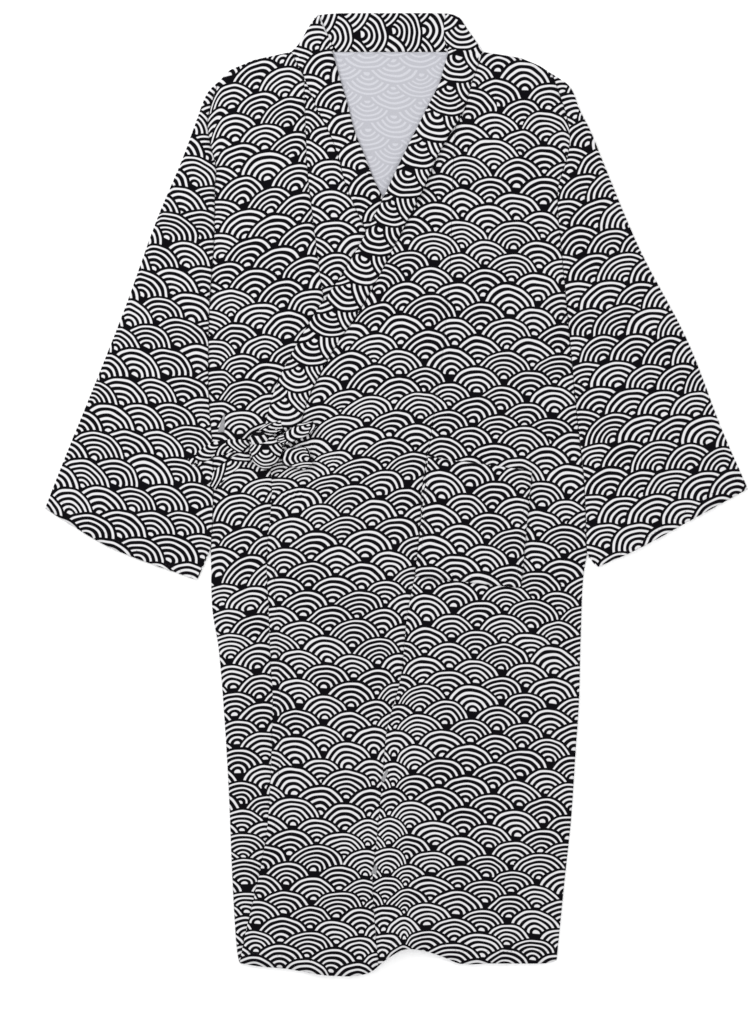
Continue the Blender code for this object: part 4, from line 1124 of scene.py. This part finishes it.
def middle_line(seam, edge, step=4):
    """The line between the band's two edges."""
    return ((seam + edge) / 2)[::step]


right_seam, right_edge = BAND_SEAM_RIGHT[::-1], rounded(COLLAR_EDGE_RIGHT, 14 * FINE)[::-1]
turn_seam = rounded([(-131, 553), (-122, 563), (-107, 588), TURN_RIGHT[0]], 20)
turn_edge = rounded([(-79.5, 551), (-80.5, 553.3), (-80, 554), (-78, 555.5)], 20)
part_seam = np.vstack([right_seam, turn_seam[1:]])
part_edge = np.vstack([right_edge, turn_edge[1:]])
under = np.concatenate([np.full(len(right_seam), UNDER), np.linspace(UNDER, 0.75, 20)])
axis = np.vstack([middle_line(right_seam, right_edge), [(-116.0, 592.0)]])
part_right = stretch("collar_right", part_seam, part_edge, under, axis, (7.4, 18.8),
                     turned=[(-97.0, 600.0), (-86.0, 574.2)])

neck_seam = rounded([(-103, 596), (-96, 599), (-77, 601), (-45, 601.5), (-8, 601.5), (30, 601.5), (60, 601),
                     (70, 599)], 60)
neck_edge = straight([(-84, 553), (70, 553)], 60)
part_neck = stretch("collar_neck", neck_seam, neck_edge,
                    np.full(61, -0.55), [(-96.0, 570.8), (90.0, 584.7)], (0.0, 11.1))

left_seam, left_edge = BAND_SEAM_LEFT, rounded(COLLAR_EDGE_LEFT, 16 * FINE)
turn_seam = rounded([TURN_LEFT[0], (77, 597), (88, 582), (100, 565), (107, 553)], 20)
turn_edge = rounded([TURN_LEFT[1], TURN_LEFT[2], (64, 555), (64.5, 551)], 20)
part_seam = np.vstack([turn_seam[:-1], left_seam])
part_edge = np.vstack([turn_edge[:-1], left_edge])
under = np.concatenate([np.linspace(0.75, UNDER, 20), at_place(OVER_BAND_RISE, ((left_seam + left_edge) / 2)[:, 1])])
axis = np.vstack([[(89.0, 590.0)], middle_line(left_seam, left_edge)])
part_left = stretch("collar_left", part_seam, part_edge, under, axis, (6.1, 4.5))
collar = join_pieces([part_right, part_neck, part_left], "collar_band")
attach(collar, "root")
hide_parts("collar")
print("collar faces:", len(collar.data.polygons))

# %% [markdown]
# The tie is two narrow doubled strips in a flat bow. Pulled tight, each strip gathers into lengthwise
# pleats, and the print bunches up with it. A row of each table is a section across a strip: its middle,
# its heading in degrees, its width and the height of its outer side.

# %% The tie's sections
# Tie: each row is a section across a strip, given by its middle, the way the strip heads in degrees,
# its width and the height of its outer side. A loop's rows run out along its lower side, round its
# end and back along its upper side.
Strip = namedtuple("Strip", "x y heading width high")
TIE_LEAD = [
    Strip(-143, 86, 195, 13, 6.0),
    Strip(-153, 83, 200, 14, 6.0),
    Strip(-161, 79.5, 215, 14, 6.2),
    Strip(-166, 77, 235, 13, 7.0),
]
TIE_STRAND = [
    Strip(-184, 60, 180, 13, 3.8),
    Strip(-200, 61, 182, 16, 3.4),
    Strip(-218, 59, 195, 17, 3.4),
    Strip(-230, 55, 205, 17, 4.2),
    Strip(-240, 49.5, 210, 16, 4.8),
    Strip(-250, 43, 212, 15, 5.0),
    Strip(-257, 38.5, 213, 13, 5.0),
]
TIE_TAIL = [
    Strip(-183, 46.5, 190, 13, 3.6),
    Strip(-197, 42, 205, 16, 3.3),
    Strip(-210, 34, 220, 17, 3.3),
    Strip(-220, 25, 232, 17, 3.4),
    Strip(-227, 16, 235, 16, 3.8),
    Strip(-231, 10, 236, 15, 4.0),
]
TIE_LOOP_LOW = [
    Strip(-142.6, 46, 0, 15, 5.2),
    Strip(-134, 46.5, 0, 22, 4.9),
    Strip(-122, 46, 0, 27, 4.9),
    Strip(-111, 45, 0, 28, 5.1),
    Strip(-107, 44.5, 0, 27, 5.9),
    Strip(-105.6, 44.5, 0, 26, 7.4),
    Strip(-107, 44.5, 0, 27, 8.9),
    Strip(-111, 45, 0, 28, 9.7),
    Strip(-122, 46, 0, 26, 10.6),
    Strip(-134, 46.5, 0, 21, 11.0),
    Strip(-142.6, 46, 0, 14, 10.6),
]
TIE_LOOP_HIGH = [
    Strip(-146, 66, 24, 12, 6.4),
    Strip(-134, 72, 24, 15, 6.2),
    Strip(-120, 79, 24, 17, 6.2),
    Strip(-107, 85, 24, 15, 6.3),
    Strip(-102.5, 87, 24, 13, 7.0),
    Strip(-101.3, 87.6, 24, 12, 8.1),
    Strip(-102.5, 87, 24, 13, 9.2),
    Strip(-107, 85, 24, 15, 9.9),
    Strip(-120, 79, 24, 17, 10.3),
    Strip(-134, 72, 24, 14, 10.5),
    Strip(-146, 66, 24, 11, 10.2),
]
print("tie sections:", len(TIE_LEAD) + len(TIE_STRAND) + len(TIE_TAIL) + len(TIE_LOOP_LOW) + len(TIE_LOOP_HIGH))

# %% Strips of the tie
TIE_ACROSS = 26
TIE_WALL = 0.9


def tie_strip(name, strips, pleats, gather, start, deep=0.9, loop=False, print_turn=0.0, seed=1):
    """A pleated strip. gather is how much wider the cloth is than the strip looks."""
    table = np.array([tuple(s) for s in strips], float)
    at = np.linspace(0, len(table) - 1, (len(table) - 1) * 9 + 1)
    padded = np.vstack([2 * table[0] - table[1], table, 2 * table[-1] - table[-2]])
    k = np.minimum(at.astype(int), len(table) - 2)
    t = (at - k)[:, None]
    a, b, c, d = (padded[k + n] for n in range(4))
    dense = 0.5 * (2 * b + (c - a) * t + (2 * a - 5 * b + 4 * c - d) * t**2 + (3 * b - 3 * c + d - a) * t**3)
    mid, heading, width, high = dense[:, :2], np.radians(dense[:, 2] + 90), dense[:, 3], dense[:, 4]
    side = np.linspace(-0.5, 0.5, TIE_ACROSS + 1)[None, :]
    along = np.concatenate([[0], np.cumsum(np.linalg.norm(np.diff(np.c_[mid, high], axis=0), axis=1))])[:, None]
    rng = np.random.default_rng(seed)
    ahead = np.radians(dense[:, 2])[:, None]
    far = (mid[:, 0] * np.cos(ahead[0, 0]) + mid[:, 1] * np.sin(ahead[0, 0]))[:, None]
    drawn = 7.0 * np.abs(2 * side) ** 2.4 * smooth((far - far.max() + 16.0) / 16.0) * float(loop)
    drawn = drawn + 1.6 * np.sin(side * 9.0 + seed) * smooth((far - far.max() + 10.0) / 10.0) * float(loop)
    x = mid[:, :1] + np.cos(heading)[:, None] * side * width[:, None] - drawn * np.cos(ahead)
    y = mid[:, 1:2] + np.sin(heading)[:, None] * side * width[:, None] - drawn * np.sin(ahead)
    wander = 0.25 * np.sin(along / 9.0 + rng.uniform(0, 6)) + 0.12 * np.sin(along / 4.0 + rng.uniform(0, 6))
    wave = np.cos((side * pleats + wander) * 2 * math.pi) * deep * (1 - (2 * np.abs(side)) ** 6)
    wave = wave + 0.3 * deep * np.sin(side * 2 * math.pi * (pleats * 2.3) + along / 6)
    ends = smooth(np.minimum(along, along[-1] - along) / 5.0)
    crown = -1.0 * (2 * np.abs(side)) ** 4
    sign = np.ones_like(along)
    if loop:
        sign = np.sign(np.gradient(along[:, 0]) * 0 + np.where(high > (high.max() + high.min()) / 2, 1.0, -1.0))[:, None]
        sign = np.where(np.abs(high - (high.max() + high.min()) / 2)[:, None] < 1.2, 0.35 * sign, sign)
    z = high[:, None] + sign * (wave * (0.45 + 0.55 * ends) * 0.5 + crown * 0.6)
    a = math.radians(print_turn)
    u, v = side * width[:, None] * gather, along + 0 * side
    place = np.stack([(u * math.cos(a) - v * math.sin(a)) * MM + start[0] * MM,
                      (u * math.sin(a) + v * math.cos(a)) * MM + start[1] * MM], -1)
    piece = cloth_grid(name, np.stack([x, y, z], -1), place, np.full(x.shape, TIE_WALL / HEM_WALL),
                       up=not loop)
    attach(piece, "root")
    print(name, "length", round(float(along[-1, 0]), 1), "mm")
    return piece, float(along[-1, 0])


tie_lead, lead_length = tie_strip("tie_lead_strip", TIE_LEAD, 1.5, 1.7, (4, 10), print_turn=70, seed=41)
tie_strand, strand_length = tie_strip("tie_left_strand", TIE_STRAND, 1.5, 1.6, (12, 3), seed=42)
tie_tail, tail_length = tie_strip("tie_free_tail", TIE_TAIL, 1.5, 1.4, (-6, -14), print_turn=90, seed=43)
loop_low, low_length = tie_strip("tie_low_loop", TIE_LOOP_LOW, 2.5, 1.8, (20, 2), 1.0, True, 25, seed=44)
loop_high, high_length = tie_strip("tie_high_loop", TIE_LOOP_HIGH, 2.0, 2.0, (9, 8), 1.0, True, -20, seed=45)
for piece, node in ((tie_lead, "tie_lead"), (tie_strand, "tie_strand"), (tie_tail, "tie_tail"),
                    (loop_low, "tie_loop_low"), (loop_high, "tie_loop_high")):
    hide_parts(node)

# %% [markdown]
# The knot is the strip wrapped over itself: a flat round with a broad wrap across it and pleats that run
# into the strips. It starts as a sphere, and its points are moved by those rules.

# %% Knot
KNOT_CENTRE = np.array([-163.0, 53.0, 10.4])
KNOT_RADII = np.array([19.6, 20.6, 5.6])


def add_lump(build, layer, centre, radii, lean, uv_of, wrap_width):
    """A flat round of gathered cloth with a wrap across it. lean is the wrap's direction in radians."""
    made = bmesh.ops.create_uvsphere(build, u_segments=72, v_segments=44, radius=1.0)
    for vert in made["verts"]:
        c = vert.co
        across = c.x * math.cos(lean) + c.y * math.sin(lean)
        along = -c.x * math.sin(lean) + c.y * math.cos(lean)
        turn = math.atan2(c.y, c.x)
        top = max(c.z, 0.0)
        wrap = math.exp(-((across / wrap_width) ** 4))
        pleats = 0.34 * math.cos(across * 17.0 + 1.5 * along) * wrap * top
        rays = 0.42 * math.cos(turn * 9.0 + 1.2 * math.sin(turn * 2)) * (1 - wrap) * top * (1 - top)
        rim = 1.0 + 0.05 * math.sin(turn * 3 + 0.5) + 0.035 * math.sin(turn * 7)
        place = centre + radii * np.array([c.x * rim, c.y * rim, c.z])
        place[2] += 1.2 * wrap * top + pleats + rays
        vert.co = Vector(place * MM)
    for face in {face for vert in made["verts"] for face in vert.link_faces}:
        face.smooth = True
        for loop in face.loops:
            x, y, z = loop.vert.co / MM
            u, v = uv_of(x, y)
            loop[layer].uv = (u * MM, v * MM)


def wave_on_knot(x, y):
    """One wave upside down on the knot's lower half, drawn together towards the rim."""
    spread = 1.0 + 0.0006 * ((x + 162.3) ** 2 + (y - 55.0) ** 2)
    return -(x + 162.3) * spread, -(y - 55.0) * spread


def stripes_on_band(x, y):
    """The flank of a wave, where its lines run down to the right as stripes."""
    along = (x + 171.0) * 0.77 - (y - 69.0) * 0.64
    across = (x + 171.0) * 0.64 + (y - 69.0) * 0.77
    return 19.0 + across, 12.0 + along * 0.35


def make_knot():
    build = bmesh.new()
    layer = build.loops.layers.uv.new("Cloth")
    add_lump(build, layer, KNOT_CENTRE, KNOT_RADII, 0.6, wave_on_knot, 0.42)
    add_lump(build, layer, np.array([-171.0, 69.0, 12.3]), np.array([11.5, 9.0, 4.2]), 0.9, stripes_on_band, 0.7)
    mesh = bpy.data.meshes.new("tie_knot_wrap")
    build.to_mesh(mesh)
    build.free()
    mesh.materials.append(printed_cotton)
    knot = bpy.data.objects.new("tie_knot_wrap", mesh)
    bpy.context.scene.collection.objects.link(knot)
    return knot


tie_knot = make_knot()
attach(tie_knot, "root")
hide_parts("tie_knot")
print("knot points:", len(tie_knot.data.vertices))

# %% [markdown]
# Hems, free edges and the pocket are held by small running stitches in black thread. They repeat along a
# path, so a geometry node tree lays one short rounded thread at even steps and turns it along the path.
# Its inputs set the spacing and the sizes, and a fixed seed makes the lengths a little uneven.

# %% Thread
thread = bpy.data.materials.new("sewing_thread")
thread.use_nodes = True
tree = thread.node_tree
shader = tree.nodes["Principled BSDF"]
place = tree.nodes.new("ShaderNodeTexCoord")
ply = tree.nodes.new("ShaderNodeTexWave")
ply.inputs["Scale"].default_value = 900.0
ply.inputs["Distortion"].default_value = 1.0
tree.links.new(place.outputs["Object"], ply.inputs["Vector"])
color = add_node(tree, "ShaderNodeMixRGB", (ply.outputs["Fac"], (0.012, 0.011, 0.014, 1), (0.045, 0.043, 0.05, 1)))
tree.links.new(color, shader.inputs["Base Color"])
tree.links.new(maths(tree, "MULTIPLY_ADD", ply.outputs["Fac"], 0.2, 0.5), shader.inputs["Roughness"])
print("thread material:", thread.name)


# %% Stitches along a path
def make_stitch_tree():
    tree = bpy.data.node_groups.new("running_stitches", "GeometryNodeTree")
    new = tree.interface.new_socket
    new("Geometry", in_out="INPUT", socket_type="NodeSocketGeometry")
    for label, kind, value in (("Spacing", "NodeSocketFloat", 5.0 * MM), ("Length", "NodeSocketFloat", 2.7 * MM),
                               ("Thickness", "NodeSocketFloat", 0.34 * MM), ("Seed", "NodeSocketInt", 4)):
        new(label, in_out="INPUT", socket_type=kind).default_value = value
    new("Thread", in_out="INPUT", socket_type="NodeSocketMaterial")
    new("Geometry", in_out="OUTPUT", socket_type="NodeSocketGeometry")
    given, result = tree.nodes.new("NodeGroupInput").outputs, tree.nodes.new("NodeGroupOutput").inputs

    def node(kind, links=(), output=0, **settings):
        made = tree.nodes.new(kind)
        for key, value in settings.items():
            setattr(made, key, value)
        for label, value in dict(links).items():
            if isinstance(value, bpy.types.NodeSocket):
                tree.links.new(value, made.inputs[label])
            else:
                made.inputs[label].default_value = value
        return made.outputs[output]

    path = node("GeometryNodeMeshToCurve", {"Mesh": given["Geometry"]})
    points = node("GeometryNodeCurveToPoints", {"Curve": path, "Length": given["Spacing"]}, mode="LENGTH")
    tangent = points.node.outputs["Tangent"]
    turn = node("FunctionNodeAlignRotationToVector", {"Vector": tangent}, axis="X")
    one = node("GeometryNodeMeshUVSphere", {"Segments": 6, "Rings": 4, "Radius": 0.5})
    uneven = node("FunctionNodeRandomValue", {2: 0.8, 3: 1.15, "Seed": given["Seed"]}, output=1)
    length = node("ShaderNodeMath", {0: given["Length"], 1: uneven}, operation="MULTIPLY")
    size = node("ShaderNodeCombineXYZ", {0: length, 1: given["Thickness"], 2: given["Thickness"]})
    laid = node("GeometryNodeInstanceOnPoints", {"Points": points, "Instance": one, "Rotation": turn,
                                                 "Scale": size})
    real = node("GeometryNodeRealizeInstances", {"Geometry": laid})
    smooth_faces = node("GeometryNodeSetShadeSmooth", {"Geometry": real})
    finished = node("GeometryNodeSetMaterial", {"Geometry": smooth_faces, "Material": given["Thread"]})
    tree.links.new(finished, result["Geometry"])
    return tree


STITCH_TREE = make_stitch_tree()


def stitch(name, paths, spacing=5.0, length=2.7):
    """Stitches along paths of x, y, z points in millimetres, as one plain mesh."""
    points, edges = [], []
    for path in paths:
        first = len(points)
        points += [tuple(p * MM) for p in np.asarray(path, float)]
        edges += [(first + k, first + k + 1) for k in range(len(path) - 1)]
    mesh = bpy.data.meshes.new(name + "_path")
    mesh.from_pydata(points, edges, [])
    route = bpy.data.objects.new(name + "_path", mesh)
    bpy.context.scene.collection.objects.link(route)
    modifier = route.modifiers.new("stitches", "NODES")
    modifier.node_group = STITCH_TREE
    sockets = {item.name: item.identifier for item in STITCH_TREE.interface.items_tree
               if item.in_out == "INPUT"}
    modifier[sockets["Spacing"]] = spacing * MM
    modifier[sockets["Length"]] = length * MM
    modifier[sockets["Thread"]] = thread
    bpy.context.view_layer.update()
    made = bpy.data.meshes.new_from_object(route.evaluated_get(bpy.context.evaluated_depsgraph_get()))
    made.name = name
    bpy.data.objects.remove(route)
    piece = bpy.data.objects.new(name, made)
    bpy.context.scene.collection.objects.link(piece)
    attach(piece, "root")
    print(name, "faces:", len(made.polygons))
    return piece


print("stitch tree nodes:", len(STITCH_TREE.nodes))

# %% [markdown]
# The paths run just inside each hem's turned edge and follow the outer side of the cloth below them, so
# the thread lies on it.

# %% Lay the stitches
def on_cloth(line, outer, lift=0.05):
    """A path of x, y points set on the outer side of a piece."""
    return np.stack([line[:, 0], line[:, 1], outer(line[:, 0], line[:, 1]) + lift], axis=1)


def hem_path(start_x, end_x):
    x = np.linspace(start_x, end_x, 160)
    return np.stack([x, np.interp(x, HEM_LINE[:, 0], HEM_LINE[:, 1]) + HEM_WIDTH - 1.5], axis=1)


front_stitches = stitch("front_stitches", [
    on_cloth(hem_path(-18, 198), front_left_outer),
    on_cloth(hem_path(-184, -32), overlap_left_outer),
    on_cloth(beside(free_edge, EDGE_WIDTH - 1.5)[6:-16], overlap_left_outer)])
under_stitches = stitch("under_stitches", [on_cloth(hem_path(-196, -192), front_right_outer)])
inner = straight([(41, 41), (29, -95), (150, -109), (163, 24)], 160)
pocket_stitches = stitch("pocket_stitches", [on_cloth(inner, pocket_outer)], 4.0, 2.2)
cuff_paths = []
for grid, upper in ((right_grid, right_upper), (left_grid, left_upper)):
    row = -1 - round(CUFF_HEM / 7.5)
    cuff_paths.append(np.concatenate([grid[row, 3:-3], upper[row, 3:-3, None] + 0.05], axis=1))
cuff_stitches = stitch("cuff_stitches", cuff_paths)

# %% [markdown]
# At three places a small bit of a seam's edge has turned over and shows the pale reverse: beside the bow
# and twice on the seam of the left overlap panel. That reverse is painted dark grey, as painted shade in the
# fold it lies in.

# %% Turned bits of cloth
def turned_bit(name, corners, outer, raised=0.35):
    """A small bit of cloth with its reverse side up, between four corners. Its reverse is painted in shade."""
    a, b, c, d = (np.array(corner, float) for corner in corners)
    points = patch(straight([a, b], 8), straight([d, c], 8), straight([a, d], 14), straight([b, c], 14))
    x, y = points[..., 0], points[..., 1]
    bow = np.sin(np.linspace(0, math.pi, x.shape[1]))[None, :] * np.sin(np.linspace(0, math.pi, x.shape[0]))[:, None]
    z = outer(x, y) - 0.35 + raised * bow
    # A fold value of 1 mixes the reverse fully to its dark grey: painted shade, for the fold the bit lies in.
    piece = cloth_grid(name, np.stack([x, y, z], -1), np.stack([x * MM, y * MM], -1),
                       fold=np.full(x.shape, 1.0), up=False)
    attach(piece, "root")
    print(name, "faces:", len(piece.data.polygons))
    return piece


side_turn = turned_bit("turned_bit_side", [(-215.5, 101), (-214.5, 100.5), (-215, 78), (-223.5, 77.5)],
                       front_right_outer)
seam_turn_high = turned_bit("turned_bit_high", [(-12.5, -343), (-10, -345), (-15.5, -359), (-19.5, -356)],
                            overlap_left_outer)
seam_turn_low = turned_bit("turned_bit_low", [(-26.5, -462), (-24, -464), (-25.5, -475), (-32, -473)],
                           overlap_left_outer)
